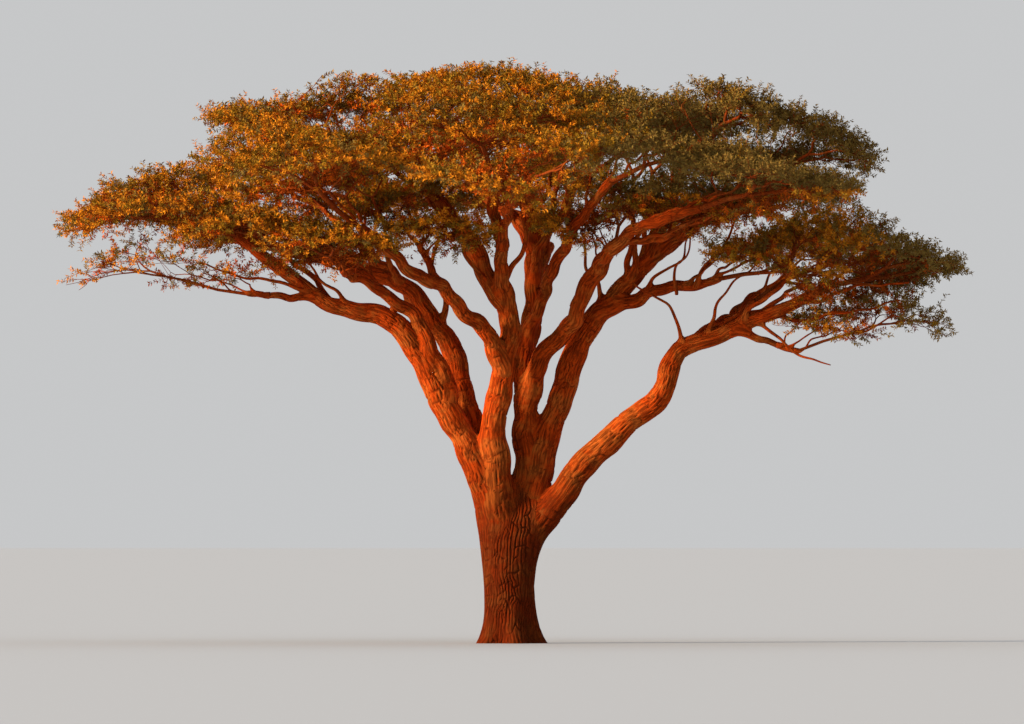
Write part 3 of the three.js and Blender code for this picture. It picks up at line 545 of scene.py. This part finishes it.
def limb_skin(points, run, radius, seed, others, joint, fillet, most, start):
    """A round profile carried along a middle line: the place is the line plus the girth times
    (cosine of the turn times one side way, plus sine times the other). The side way is the way that
    the line turns towards least, made square to it. Slow noise knobs the girth, and the fissures
    are cut into it. Over the joint's length at the foot the skin runs together with the others'.
    """
    rows = max(8, int(round(run[-1] / RING_STEP)))
    sides = max(8, int(round(2 * math.pi * radius.mean() / SIDE_STEP)))
    along = np.linspace(0, run[-1], rows)
    line = np.stack([np.interp(along, run, points[:, k]) for k in range(3)], axis=1)
    way = unit(np.gradient(line, axis=0))
    level = np.linalg.eigh(way.T @ way)[1][:, 0]
    side = unit(level - (way @ level)[:, None] * way)
    across = np.cross(way, side)
    girth = np.interp(along, run, radius)
    turn, along_grid = np.meshgrid(np.arange(sides) / sides, along)
    cut = bark_relief(turn, along_grid, radius.mean(), seed)
    knobs = lattice(turn * KNOBS_AROUND, along_grid / KNOB_LENGTH, KNOBS_AROUND, seed + 5) - 0.5
    angle = 2 * math.pi * turn
    outward = np.cos(angle)[..., None] * side[:, None] + np.sin(angle)[..., None] * across[:, None]
    body = girth[:, None] + 0 * turn
    near = int((along < joint).sum())
    grown, seam = grown_together(line[:near, None], outward[:near], girth[:near, None], others,
                                 fillet, most, start)
    fading = 1 - smooth(along[:near, None], 0.75 * joint, joint)
    body[:near] += (grown - girth[:near, None]) * fading
    cut[:near] *= 1 - SEAM_SMOOTHED * seam * fading
    knobs[:near] *= 1 - KNOBS_SMOOTHED * seam * fading
    thick = (body + girth[:, None] * 2 * KNOB * knobs
             - np.minimum(BARK_DEPTH, girth[:, None] * FURROW_MOST) * cut)
    skin = line[:, None] + thick[..., None] * outward
    grain = np.stack([radius.mean() * np.cos(angle), radius.mean() * np.sin(angle), along_grid], axis=-1)
    quads, caps = closed_grid(rows, sides)
    return (np.vstack([skin.reshape(-1, 3), line[:1], line[-1:]]), quads, caps,
            np.vstack([grain.reshape(-1, 3) + seed, [[seed, seed, 0], [seed, seed, run[-1]]]]),
            np.r_[cut.ravel(), 0.5, 0.5])


def joined(skins):
    """Several skins as one: their points in a row, and their faces counted on."""
    points, quads, caps, grain, cuts = zip(*skins)
    starts = np.cumsum([0, *map(len, points[:-1])])
    quads, caps = (np.vstack([faces + start for faces, start in zip(kind, starts)])
                   for kind in (quads, caps))
    return np.vstack(points), quads, caps, np.vstack(grain), np.concatenate(cuts)


def joint_with(bearer, foot, length, most):
    """What limb_skin needs to run a side limb's foot together with its bearer."""
    nearest = np.linalg.norm(bearer["points"] - foot, axis=1).argmin()
    low, high = np.searchsorted(bearer["run"], bearer["run"][nearest] + np.array(BEARER_STRETCH))
    return ([lambda spot: outside_limb(spot, bearer, low, high)], length, LIMB_FILLET, most,
            2.5 * LIMB_FILLET)


young_bark = bark_material("bough_bark", colour(186, 67, 13), colour(188, 94, 34),
                           colour(62, 20, 5), 34.0, 0.011)
SEED_STEP = 20  # from one limb's bark to the next
order = list(limbs)
for root in [name for name in limbs if limbs[name]["bearer"] == "trunk"]:
    members = [name for name in limbs if limbs[name]["root"] == root]
    skins = []
    for name in members:
        limb = limbs[name]
        if limb["bearer"] == "trunk":
            others = [outside_trunk] + [
                lambda spot, rib=rib: outside_limb(spot, rib, 0, fork_steps[id(rib)])
                for rib in risers if rib is not limb]
            joint = limb["run"][fork_steps[id(limb)]]
            growth = (others, joint, FILLET, WEB_AT_BOUGH, 0.0)
        else:
            growth = joint_with(limbs[limb["bearer"]], limb["points"][0], JOINT, JOINT_WEB)
        skins.append(limb_skin(limb["points"], limb["run"], limb["radius"],
                               SEED_STEP * order.index(name), *growth))
    points, quads, caps, grain, cuts = joined(skins)
    # The boughs' bark carries the same painted shade, darkest near the fork.
    piece = make_piece(root.replace("bough_", "boughs_"), points, quads, caps, young_bark, "bark",
                       grain=grain, fissure=cuts, age=1 - smooth(points[:, 2], *PAINTED_SHADE_HEIGHTS))
    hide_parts(*members)


# Side limbs. Crooked lesser growth that stands out of the boughs in the open space under the
# crown: the stouter ones live and run up into the leaves, the thin ones are mostly dead. Each
# is a short tapering limb of the same bark.
SIDE_LIMBS = [  # route, radius at the foot and at the end
    ([(3.06, -0.28, 5.05), (2.95, -0.33, 5.45), (2.72, -0.38, 5.82), (2.15, -0.40, 6.22)], 0.040, 0.016),
    ([(3.44, -0.30, 5.28), (3.50, -0.38, 5.62), (3.66, -0.46, 5.94), (4.28, -0.66, 6.56)], 0.044, 0.014),
    ([(4.30, -0.36, 5.55), (4.95, -0.52, 5.02), (5.30, -0.56, 4.90), (5.55, -0.60, 4.80)], 0.030, 0.010),
    ([(0.46, 0.40, 6.20), (0.50, 0.15, 6.70), (0.70, -0.05, 7.28), (0.92, -0.20, 8.15)], 0.085, 0.040),
    ([(0.46, 0.40, 6.90), (0.30, 0.10, 7.20), (0.22, -0.15, 7.55), (0.05, -0.30, 8.00)], 0.050, 0.024),
    ([(-1.95, -0.42, 5.50), (-2.05, -0.55, 5.95), (-2.30, -0.66, 6.25), (-2.42, -0.76, 6.72)], 0.044, 0.016),
    ([(-2.72, -0.48, 5.73), (-2.95, -0.62, 6.10), (-3.30, -0.72, 6.32), (-3.55, -0.80, 6.72)], 0.040, 0.014),
    ([(-3.32, -0.54, 6.00), (-3.80, -0.80, 6.18), (-4.50, -0.95, 6.30), (-5.30, -1.10, 6.55)], 0.040, 0.014),
    ([(-0.30, -0.55, 6.15), (-0.62, -0.90, 6.45), (-0.78, -1.10, 6.85), (-0.72, -1.30, 7.30)], 0.046, 0.020),
    ([(-0.25, -0.56, 6.10), (0.08, -0.85, 6.45), (0.28, -1.05, 6.90), (0.22, -1.20, 7.40)], 0.060, 0.026),
    ([(-1.80, 0.87, 6.16), (-2.02, 0.70, 6.50), (-2.20, 0.60, 6.88), (-2.62, 0.50, 7.25)], 0.060, 0.028),
    ([(-1.20, 0.58, 5.45), (-1.10, 0.70, 5.95), (-1.32, 0.80, 6.45), (-1.22, 0.90, 7.05)], 0.062, 0.028),
    ([(1.60, 0.24, 5.75), (1.55, 0.34, 6.20), (1.35, 0.42, 6.60), (1.30, 0.55, 7.10)], 0.046, 0.018),
    ([(2.05, 0.24, 6.20), (2.22, 0.00, 6.62), (2.20, -0.20, 7.00), (2.48, -0.36, 7.45)], 0.070, 0.034),
    ([(2.40, -0.05, 6.05), (2.60, -0.20, 6.40), (2.95, -0.30, 6.62), (3.10, -0.42, 7.00)], 0.034, 0.014),
    ([(3.20, -0.42, 6.12), (3.42, -0.46, 6.52), (3.72, -0.52, 6.92), (3.98, -0.60, 7.40)], 0.040, 0.016),
    ([(2.90, -0.34, 6.02), (2.84, -0.40, 6.42), (3.10, -0.46, 6.72), (3.16, -0.50, 7.10)], 0.030, 0.012),
    ([(4.00, -0.33, 5.46), (4.22, -0.46, 5.86), (4.62, -0.56, 6.10), (5.02, -0.62, 6.50)], 0.052, 0.024),
    ([(4.55, -0.38, 5.70), (5.10, -0.30, 5.58), (5.90, -0.42, 5.72), (6.75, -0.50, 5.92)], 0.042, 0.014),
    ([(4.95, -0.42, 5.90), (5.45, -0.62, 5.94), (6.10, -0.72, 6.16), (6.90, -0.80, 6.22)], 0.046, 0.016),
]
SIDE_CROOK = 0.030
SIDE_JOINT, SIDE_WEB = 0.6, 0.05
SIDE_CROOK_SEED, SIDE_BARK_SEED = 500, 900
side_steps = np.linspace(0, 1, 61)
side_skins = []
for n, (route, foot, end) in enumerate(SIDE_LIMBS):
    points = crooked(through(route, side_steps), SIDE_CROOK, SIDE_CROOK_SEED + n)
    gaps = [np.linalg.norm(limb["points"] - points[0], axis=1).min() for limb in limbs.values()]
    bearer = list(limbs.values())[int(np.argmin(gaps))]
    side_skins.append(limb_skin(points, distance_along(points), foot + (end - foot) * side_steps,
                                SIDE_BARK_SEED + SEED_STEP * n,
                                *joint_with(bearer, points[0], SIDE_JOINT, SIDE_WEB)))
points, quads, caps, grain, cuts = joined(side_skins)
make_piece("side_limbs", points, quads, caps, young_bark, "bark", grain=grain, fissure=cuts)


# Arms and twigs. Near the end of its bough crooked arms leave for each mass of leaves. Every
# arm, and the bough's own tip, runs towards the middle of the places it has to reach, forks in
# two, and each half does the same, down to one place each. Shoots stand along each last twig.
PAD_SQUARENESS = 2.8
PAD_TAPER = 0.40
PAD_FILL = 0.97  # the outermost place, as a share of the reach
PAD_UNDERSIDE, PAD_DEPTH, PAD_RISE = -0.80, 1.76, 0.80  # a rise under 1 lifts places to the top
PLACE_SCATTER = 0.055
EDGE_WAVES, SWELLS = (0.10, 0.07), (0.08, 0.07)  # unevenness of the pad's edge and of its layers
OWN_SPACE = 1.02
# How far the outer end of a pad hangs, as a share of its half height, and how much more it tapers.
OUTER_END = (0.34, 0.55)
OUTER_ENDS = {"crown_top_left": (-0.30, 0.55), "crown_top": (0.0, 0.3), "crown_left_outer": (0.70, 1.4),
              "crown_top_far_right": (0.50, 0.35), "crown_left_fringe": (0.85, 0.55),
              "crown_right_outer": (0.05, 0.30), "crown_right_fringe": (0.80, 0.55)}
GOLDEN_SHARE = (math.sqrt(5) - 1) / 2
FORK_SHARE = 0.46
STEM_START = 0.8
STEM_THINNING = 0.46  # the power by which a stem thins with the places it still has to reach
TWIG_LEAST = 0.0045
PLACES_PER_AREA = 82  # places that the twigs of a mass reach, for a reach of a metre each way
OVERLAP = 0.12  # how far into its neighbour's pad a mass may grow, as a share of the reach
LEAST_TWIGGY = 0.6  # a mass with fewer leaves than this has bare twigs among its leafy ones
SIDE_STEMS = (1.0, 0.91, 0.81, 0.70)  # where stems leave a limb: at its tip, and before it
SIDE_SHARES = (0.40, 0.62, 0.82)  # the outermost places are the tip's, the innermost the last's
ARM_REACH = 0.52  # how far towards its places an arm runs before it forks
ARM_THINNING = 0.74
ARM_CROOK, ARM_CROOK_SEED, ARM_BARK_SEED = 0.050, 700, 2000
TWIG_SEED = 41
CLEAR_OF_LIMB = 0.06
RIM_LIMIT = 1.08  # how far out of its mass a shoot may still end
STOUT_STEM = 0.013
TWIG_BEND = 0.045  # how far the middle of a twig is off its line, as a share of its length
SHOOTS = (0.34, 0.58, 0.80, 1.0)  # where the shoots stand, as shares of a last twig
SHOOT_LENGTH = (0.17, 0.36)
SHOOT_RADII = (0.0034, 0.0012)
SHOOT_TURN = 1.2  # the most that chance turns a shoot round its twig, in radians
SHOOT_AHEAD, END_AHEAD = 0.6, 1.1  # how much a shoot, and one at the twig's end, follows the twig
SHOOT_ASIDE, SHOOT_FLATNESS, SHOOT_RISE = 0.8, 0.55, 0.24
END_LONGER = 1.15
RAGGED = 0.35  # the share of shoots that is missing at the rim of the crown
RIM = (0.84, 0.98)  # where the rim starts and ends, with 1 at the edge of a mass


def depth_in(points, middles, reaches):
    """How far out points are in masses, with 1 at the edge of the pad: the root of the sum of the
    distances along x, y and z, in shares of the reach, each raised to the same power.
    """
    away = np.abs(points[:, None] - middles) / reaches
    return (away ** PAD_SQUARENESS).sum(axis=2) ** (1 / PAD_SQUARENESS)


def places(middle, reach, count, droop, outer_taper, rng):
    """Evenly spread places: a golden-angle spiral in plan, whose last place points away from the
    trunk, and in height a golden-ratio walk from the pad's underside to its top. The pad tapers as
    a power of one less the square of the way out, and most so at its outer end, which hangs by the
    square of the way to it. Two slow waves round it make its edge uneven, and each place is a
    little off its spot.
    """
    k = np.arange(count)
    golden = 2 * math.pi * (1 - GOLDEN_SHARE)
    out = PAD_FILL * np.sqrt((k + 0.5) / count)
    angle = math.atan2(middle[1], middle[0]) + (k - count + 1) * golden
    level = ((k + 0.5) * GOLDEN_SHARE) % 1
    outward = np.maximum(0, np.cos(angle - math.atan2(middle[1], middle[0]))) * out
    shoulder = (1 - out ** 2) ** (PAD_TAPER + outer_taper * outward)
    starts = rng.uniform(0, 2 * math.pi, 4)
    edge = (1 + EDGE_WAVES[0] * np.sin(3 * angle + starts[0])
            + EDGE_WAVES[1] * np.sin(7 * angle + starts[1]))
    swell = (SWELLS[0] * np.sin(2 * angle + 3 * out + starts[2])
             + SWELLS[1] * np.sin(5 * angle - 6 * out + starts[3]))
    spread = np.stack([out * edge * np.cos(angle), out * edge * np.sin(angle),
                       (PAD_UNDERSIDE + PAD_DEPTH * level ** PAD_RISE + swell) * shoulder
                       - droop * outward ** 2], axis=1)
    return middle + (spread + rng.normal(0, PLACE_SCATTER, spread.shape)) * reach


def parted(group, fork):
    """A group of places in two halves, either side of the plane that parts them best as seen from
    the fork.
    """
    ways = unit(group - fork)
    off = ways - ways.mean(axis=0)
    order = np.argsort(off @ np.linalg.eigh(off.T @ off)[1][:, -1], kind="stable")
    half = (len(order) + 1) // 2
    return group[order[:half]], group[order[half:]]


def branch_out(foot, group, foot_radius):
    """Every length of twig between the foot of a stem and its places, as rows of start, end, radius
    at both and whether it is a last twig.
    """
    lengths, waiting, total = [], [(foot, group)], len(group)
    while waiting:
        start, group = waiting.pop()
        radius = max(TWIG_LEAST, foot_radius * (len(group) / total) ** STEM_THINNING)
        last = len(group) == 1
        end = group[0] if last else start + FORK_SHARE * (group.mean(axis=0) - start)
        lengths.append((*start, *end, radius, max(TWIG_LEAST, radius * (0.5 if last else 0.86)), last))
        if not last:
            waiting.extend((end, part) for part in parted(group, end))
    return np.array(lengths)


def square_to(ways):
    """Two directions square to each way and to each other."""
    level = np.where(np.abs(ways[:, 2:]) < 0.9, [[0.0, 0.0, 1.0]], [[1.0, 0.0, 0.0]])
    first = unit(np.cross(ways, level))
    return first, np.cross(first, ways)


def rods(stations, radii, sides):
    """Many thin tubes at once. Each has the same number of stations, and at every station a ring of
    a few sides square to the way from its first station to its last.
    """
    count, rings = radii.shape
    first, second = square_to(unit(stations[:, -1] - stations[:, 0]))
    angle = 2 * math.pi * np.arange(sides) / sides
    ring = (np.cos(angle)[None, :, None] * first[:, None]
            + np.sin(angle)[None, :, None] * second[:, None])
    points = stations[:, :, None] + radii[:, :, None, None] * ring[:, None]
    a = np.arange(rings - 1)[:, None] * sides + np.arange(sides)[None]
    b = np.arange(rings - 1)[:, None] * sides + (np.arange(sides)[None] + 1) % sides
    quads = np.stack([a, a + sides, b + sides, b], axis=-1).reshape(-1, 4)
    starts = (np.arange(count) * rings * sides)[:, None, None]
    return points.reshape(-1, 3), (quads[None] + starts).reshape(-1, 4)


crowns = [limb["crown"] for limb in limbs.values()]
middles = np.array([limb["middle"] for limb in limbs.values()])
reaches = np.array([limb["reach"] for limb in limbs.values()])
limb_line = np.vstack([limb["points"][::6] for limb in limbs.values()])
limb_radius = np.concatenate([limb["radius"][::6] for limb in limbs.values()])
twig_rng = np.random.default_rng(TWIG_SEED)
lengths, arm_skins = [], []
for n, limb in enumerate(limbs.values()):
    twiggy = max(limb["leafiness"], LEAST_TWIGGY)
    count = int(round(PLACES_PER_AREA * twiggy * limb["reach"][0] * limb["reach"][1]))
    outer_end = OUTER_ENDS.get(limb["crown"], OUTER_END)
    group = places(limb["middle"], limb["reach"], count, *outer_end,
                   np.random.default_rng((TWIG_SEED, n)))
    depths = depth_in(group, middles, reaches)
    own = depths[:, n].copy()
    depths[:, n] = 9
    near = np.linalg.norm(group[:, None] - limb_line, axis=2) - limb_radius
    group = group[(own < OWN_SPACE) & (own < depths.min(axis=1) + OVERLAP)
                  & (near.min(axis=1) > CLEAR_OF_LIMB)]
    feet = np.array([limb["points"][round(share * LINE_STEPS)] for share in SIDE_STEMS])
    stout = [limb["radius"][round(share * LINE_STEPS)] for share in SIDE_STEMS]
    inwards = np.argsort(np.argsort(-group @ (limb["middle"] - feet[-1]), kind="stable"))
    stem_of = np.searchsorted(SIDE_SHARES, inwards / len(group), side="right")
    ways = unit(np.gradient(limb["points"], axis=0))
    for k, foot in enumerate(feet):
        mine = group[stem_of == k]
        if not len(mine):
            continue
        girth = stout[k] * STEM_START
        if k:
            girth = girth * (len(mine) / len(group)) ** STEM_THINNING
            ahead = mine.mean(axis=0) - foot
            own_way = ways[round(SIDE_STEMS[k] * LINE_STEPS)]
            points = crooked(bending(foot, unit(own_way + unit(ahead)), foot + ARM_REACH * ahead,
                                     unit(ahead), side_steps), ARM_CROOK, ARM_CROOK_SEED + 4 * n + k)
            arm_skins.append(limb_skin(
                points, distance_along(points), girth * (1 - (1 - ARM_THINNING) * side_steps),
                ARM_BARK_SEED + SEED_STEP * len(arm_skins),
                *joint_with(limb, foot, SIDE_JOINT, SIDE_WEB)))
            foot, girth = points[-1], girth * ARM_THINNING
        lengths.append(np.c_[branch_out(foot, mine, girth),
                             np.full(2 * len(mine) - 1, limb["leafiness"] / twiggy)])
lengths = np.vstack(lengths)
points, quads, caps, grain, cuts = joined(arm_skins)
arms_piece = make_piece("arms", points, quads, caps, young_bark, "foliage", grain=grain, fissure=cuts)
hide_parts(*crowns)
start, end, radii = lengths[:, :3], lengths[:, 3:6], lengths[:, 6:8]
span = np.linalg.norm(end - start, axis=1, keepdims=True)
bent = (start + end) / 2 + twig_rng.normal(0, TWIG_BEND, start.shape) * span
stations = np.stack([start, bent, end], axis=1)
stout = radii[:, 0] > STOUT_STEM
twig_bark = bark_material("twig_bark", colour(140, 56, 16), colour(150, 78, 32),
                          colour(66, 25, 8), 60.0, 0.002)
for name, chosen, sides in (("stems", stout, 6), ("twigs", ~stout, 3)):
    points, quads = rods(stations[chosen], np.stack([
        radii[chosen, 0], radii[chosen].mean(axis=1), radii[chosen, 1]], axis=1), sides)
    piece = make_piece(name, points, quads, np.empty((0, 3), int), twig_bark, "foliage",
                       grain=points, fissure=np.zeros(len(points)))
    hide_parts(*crowns)

last = lengths[:, 8] > 0.5
twig_start, twig_end = start[last], end[last]
twig_way = unit(twig_end - twig_start)
twig_first, twig_second = square_to(twig_way)
shoot_share = np.tile(SHOOTS, len(twig_start))
which = np.repeat(np.arange(len(twig_start)), len(SHOOTS))
shoot_root = twig_start[which] + (twig_end - twig_start)[which] * shoot_share[:, None]
shoot_angle = (np.arange(len(which)) * 2 * math.pi * GOLDEN_SHARE
               + twig_rng.uniform(0, SHOOT_TURN, len(which)))
sideways = (np.cos(shoot_angle)[:, None] * twig_first[which]
            + np.sin(shoot_angle)[:, None] * twig_second[which]) * (1, 1, SHOOT_FLATNESS)
at_end = shoot_share == SHOOTS[-1]
shoot_way = unit(twig_way[which] * np.where(at_end, END_AHEAD, SHOOT_AHEAD)[:, None]
                 + SHOOT_ASIDE * sideways + (0, 0, SHOOT_RISE))
shoot_length = twig_rng.uniform(*SHOOT_LENGTH, len(which)) * np.where(at_end, END_LONGER, 1)
shoot_tip = shoot_root + shoot_way * shoot_length[:, None]
rim = depth_in(shoot_tip, middles, reaches).min(axis=1)
leafy = lengths[last, 9][which] * (1 - RAGGED * smooth(rim, *RIM))
kept = (rim < RIM_LIMIT) & (twig_rng.random(len(rim)) < leafy)
shoot_root, shoot_way, shoot_tip, shoot_length = (
    values[kept] for values in (shoot_root, shoot_way, shoot_tip, shoot_length))
points, quads = rods(np.stack([shoot_root, shoot_tip], axis=1),
                     np.tile(SHOOT_RADII, (len(shoot_root), 1)), 3)
piece = make_piece("shoots", points, quads, np.empty((0, 3), int), twig_bark, "foliage",
                   grain=points, fissure=np.zeros(len(points)))
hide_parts(*crowns)


# Leaves. Fine leaves in small bunches along every shoot, each drawn as one folded blade with
# its point outwards. Their tints are the leaves' own, but which tint goes where is painted light:
# gold is painted sunlight on the outside towards the low sun, russet and umber paint the warm glow
# of that low sun inside and under the crown, and a darker olive is painted shade over the top and
# on the right, on the far side from the sun.
BUNCHES, LEAVES_PER_BUNCH = 6, 4
MOST_TRIANGLES = 190000  # in one piece
LEAF_LENGTH = (0.050, 0.080)
LEAF_WIDTH = 0.41
LEAF_FOLD = 0.10
LEAF_BELLY = 0.45  # where a leaf is widest, along it
LEAF_TILT = 0.45
LEAF_FLATNESS = 0.75  # under 1 spreads the leaves out more level than their shoots alone would
LEAF_AHEAD, LEAF_RISE = 0.55, 0.1  # how much a leaf follows its shoot, and points up
LEAF_TURN = 0.9  # the most that chance turns a leaf round its shoot, in radians
LEAVES_START, LEAVES_SPAN = 0.10, 0.92  # the stretch of a shoot that bears leaves, as shares
BUNCH_SPREAD = (0.2, 0.8)  # where in its own share of that stretch a leaf stands
LEAF_SEED = 77
# Painted light: the tastes below put gold where the sun falls, dark olive in shade on the far side, and
# russet and umber inside and under the crown, where the low sun glows.
TINTS = {  # screen colour, then how much it likes the outside, the top and the far side
    "leaves_gold": (colour(184, 114, 22), (0.9, 0.35, -1.6)),
    "leaves_russet": (colour(182, 80, 12), (-0.9, -0.5, -0.9)),
    "leaves_olive": (colour(136, 100, 24), (0.5, 0.6, -0.2)),
    "leaves_dark_olive": (colour(118, 94, 42), (0.1, 0.4, 1.7)),
    "leaves_umber": (colour(134, 58, 10), (-1.2, -0.9, 0.2)),
}
# Far side from the sun: where it starts and ends along x, for the top tier and for the lower one.
FAR_SIDE = ((0.8, 3.2), (6.0, 7.2))
TOP_TIER = 7.7  # the height that parts the two
TINT_MIXING = 0.42

leaf_tone = node_group(
    "leaf_tone", {"Leaf Colour": "Color", "Painted Sun Colour": "Color", "Patch Scale": "Float"},
    {"Color": "Color", "Roughness": "Float"})
given = wire(leaf_tone, "NodeGroupInput")
spot = wire(leaf_tone, "ShaderNodeTexCoord")
drift = wire(leaf_tone, "ShaderNodeTexNoise", {
    "Vector": spot.outputs["Object"], "Scale": given.outputs["Patch Scale"], "Detail": 3.0})
tone = wire(leaf_tone, "ShaderNodeMapRange", {
    "Value": drift.outputs["Fac"], "From Min": 0.4, "From Max": 0.65})
# Painted light: noise patches mix each tint with a paler copy that stands for sunlit leaves.
leaf_mix = wire(leaf_tone, "ShaderNodeMix", {
    "Factor": tone.outputs[0], 6: given.outputs["Leaf Colour"], 7: given.outputs["Painted Sun Colour"]},
    data_type="RGBA")
sheen = wire(leaf_tone, "ShaderNodeMapRange", {
    "Value": drift.outputs["Fac"], "To Min": 0.55, "To Max": 0.75})
wire(leaf_tone, "NodeGroupOutput", {"Color": leaf_mix.outputs[2], "Roughness": sheen.outputs[0]})


def leaf_material(name, tint):
    """A leaf: one plain tint that drifts a little over the crown towards a paler copy, in painted patches of
    sunlight, half dull.
    """
    return group_material(name, leaf_tone, 0.05, {
        "Leaf Colour": tint, "Painted Sun Colour": (*(min(1, 1.35 * v) for v in tint[:3]), 1),
        "Patch Scale": 3.0})[0]


# Painted light: each shoot's tint is chosen by where it stands towards the sun, with some chance mixed in.
leaf_rng = np.random.default_rng(LEAF_SEED)
depths = depth_in(shoot_tip, middles, reaches)
own_depth, own = depths.min(axis=1), depths.argmin(axis=1)
own_level = np.clip((shoot_tip[:, 2] - middles[own, 2]) / reaches[own, 2], -1, 1)
far_side = np.where(shoot_tip[:, 2] > TOP_TIER, smooth(shoot_tip[:, 0], *FAR_SIDE[0]),
                    smooth(shoot_tip[:, 0], *FAR_SIDE[1]))
likes = np.stack([own_depth * 2 - 1.1, 0.9 * own_level + (shoot_tip[:, 2] - 7.9) / 6, far_side],
                 axis=1)
scores = likes @ np.array([taste for _, taste in TINTS.values()]).T
scores = scores + leaf_rng.gumbel(0, TINT_MIXING, scores.shape)
tint_of = scores.argmax(axis=1)

for n, (name, (tint, _)) in enumerate(TINTS.items()):
    chosen = tint_of == n
    root, way, length = shoot_root[chosen], shoot_way[chosen], shoot_length[chosen]
    first, second = square_to(way)
    per_shoot = BUNCHES * LEAVES_PER_BUNCH
    shoot = np.repeat(np.arange(len(root)), per_shoot)
    leaf = np.tile(np.arange(per_shoot), len(root))
    in_bunch = leaf_rng.uniform(*BUNCH_SPREAD, len(leaf))
    along = LEAVES_START + LEAVES_SPAN * (leaf // LEAVES_PER_BUNCH + in_bunch) / BUNCHES
    angle = leaf * 2 * math.pi * GOLDEN_SHARE + leaf_rng.uniform(0, LEAF_TURN, len(leaf)) + shoot
    foot = root[shoot] + way[shoot] * (along * length[shoot])[:, None]
    heading = unit(LEAF_AHEAD * way[shoot] + np.cos(angle)[:, None] * first[shoot]
                   + np.sin(angle)[:, None] * second[shoot] + (0, 0, LEAF_RISE))
    heading = unit(heading * (1, 1, LEAF_FLATNESS))
    face = leaf_rng.normal(0, LEAF_TILT, heading.shape) + (0, 0, 1)
    across = unit(np.cross(heading, face))
    normal = np.cross(across, heading)
    size = leaf_rng.uniform(*LEAF_LENGTH, len(leaf))[:, None]
    belly = foot + heading * size * LEAF_BELLY + normal * size * LEAF_FOLD
    half = across * size * LEAF_WIDTH / 2
    points = np.stack([foot, belly + half, foot + heading * size, belly - half], axis=1).reshape(-1, 3)
    corner = (np.arange(len(leaf)) * 4)[:, None]
    triangles = np.stack([corner + (0, 1, 2), corner + (0, 2, 3)], axis=1).reshape(-1, 3)
    material = leaf_material(name, tint)
    parts = math.ceil(len(triangles) / MOST_TRIANGLES)
    part_length = math.ceil(len(triangles) // 2 / parts) * 2
    for part, first_face in enumerate(range(0, len(triangles), part_length)):
        faces = triangles[first_face:first_face + part_length]
        low = faces.min()
        piece = make_piece(f"{name}_{part + 1}", points[low:faces.max() + 1],
                           np.empty((0, 4), int), faces - low, material, "foliage")
        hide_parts(*crowns)


# Floor and light. A plain pale floor under an even pale sky, and one soft warm lamp, low on
# the left and a little in front, as the sun stands in the photograph.
FLOOR_SIZE = 900.0

floor_mesh = bpy.data.meshes.new("floor")
floor_mesh.from_pydata([(x * FLOOR_SIZE, y * FLOOR_SIZE, 0) for x, y in (
    (-1, -1), (1, -1), (1, 1), (-1, 1))], [], [(0, 1, 2, 3)])
floor = placed("floor", floor_mesh)
floor_material = bpy.data.materials.new("pale_floor")
floor_material.use_nodes = True
floor_surface = floor_material.node_tree.nodes["Principled BSDF"]
floor_surface.inputs["Base Color"].default_value = (0.46, 0.50, 0.56, 1)
floor_surface.inputs["Roughness"].default_value = 0.9
floor_mesh.materials.append(floor_material)

lamp_data = bpy.data.lights.new("low_sun", "SUN")
lamp_data.energy = 7.6
lamp_data.angle = math.radians(12)
lamp_data.color = (1.0, 0.79, 0.56)
lamp = placed("low_sun", lamp_data)
lamp.rotation_euler = (math.radians(76), 0, math.radians(-68))

world = bpy.data.worlds.new("pale_sky")
world.use_nodes = True
sky = world.node_tree.nodes["Background"]
sky.inputs["Color"].default_value = (0.86, 0.87, 0.88, 1)
sky.inputs["Strength"].default_value = 0.66
bpy.context.scene.world = world
bpy.context.scene.view_settings.view_transform = "Standard"
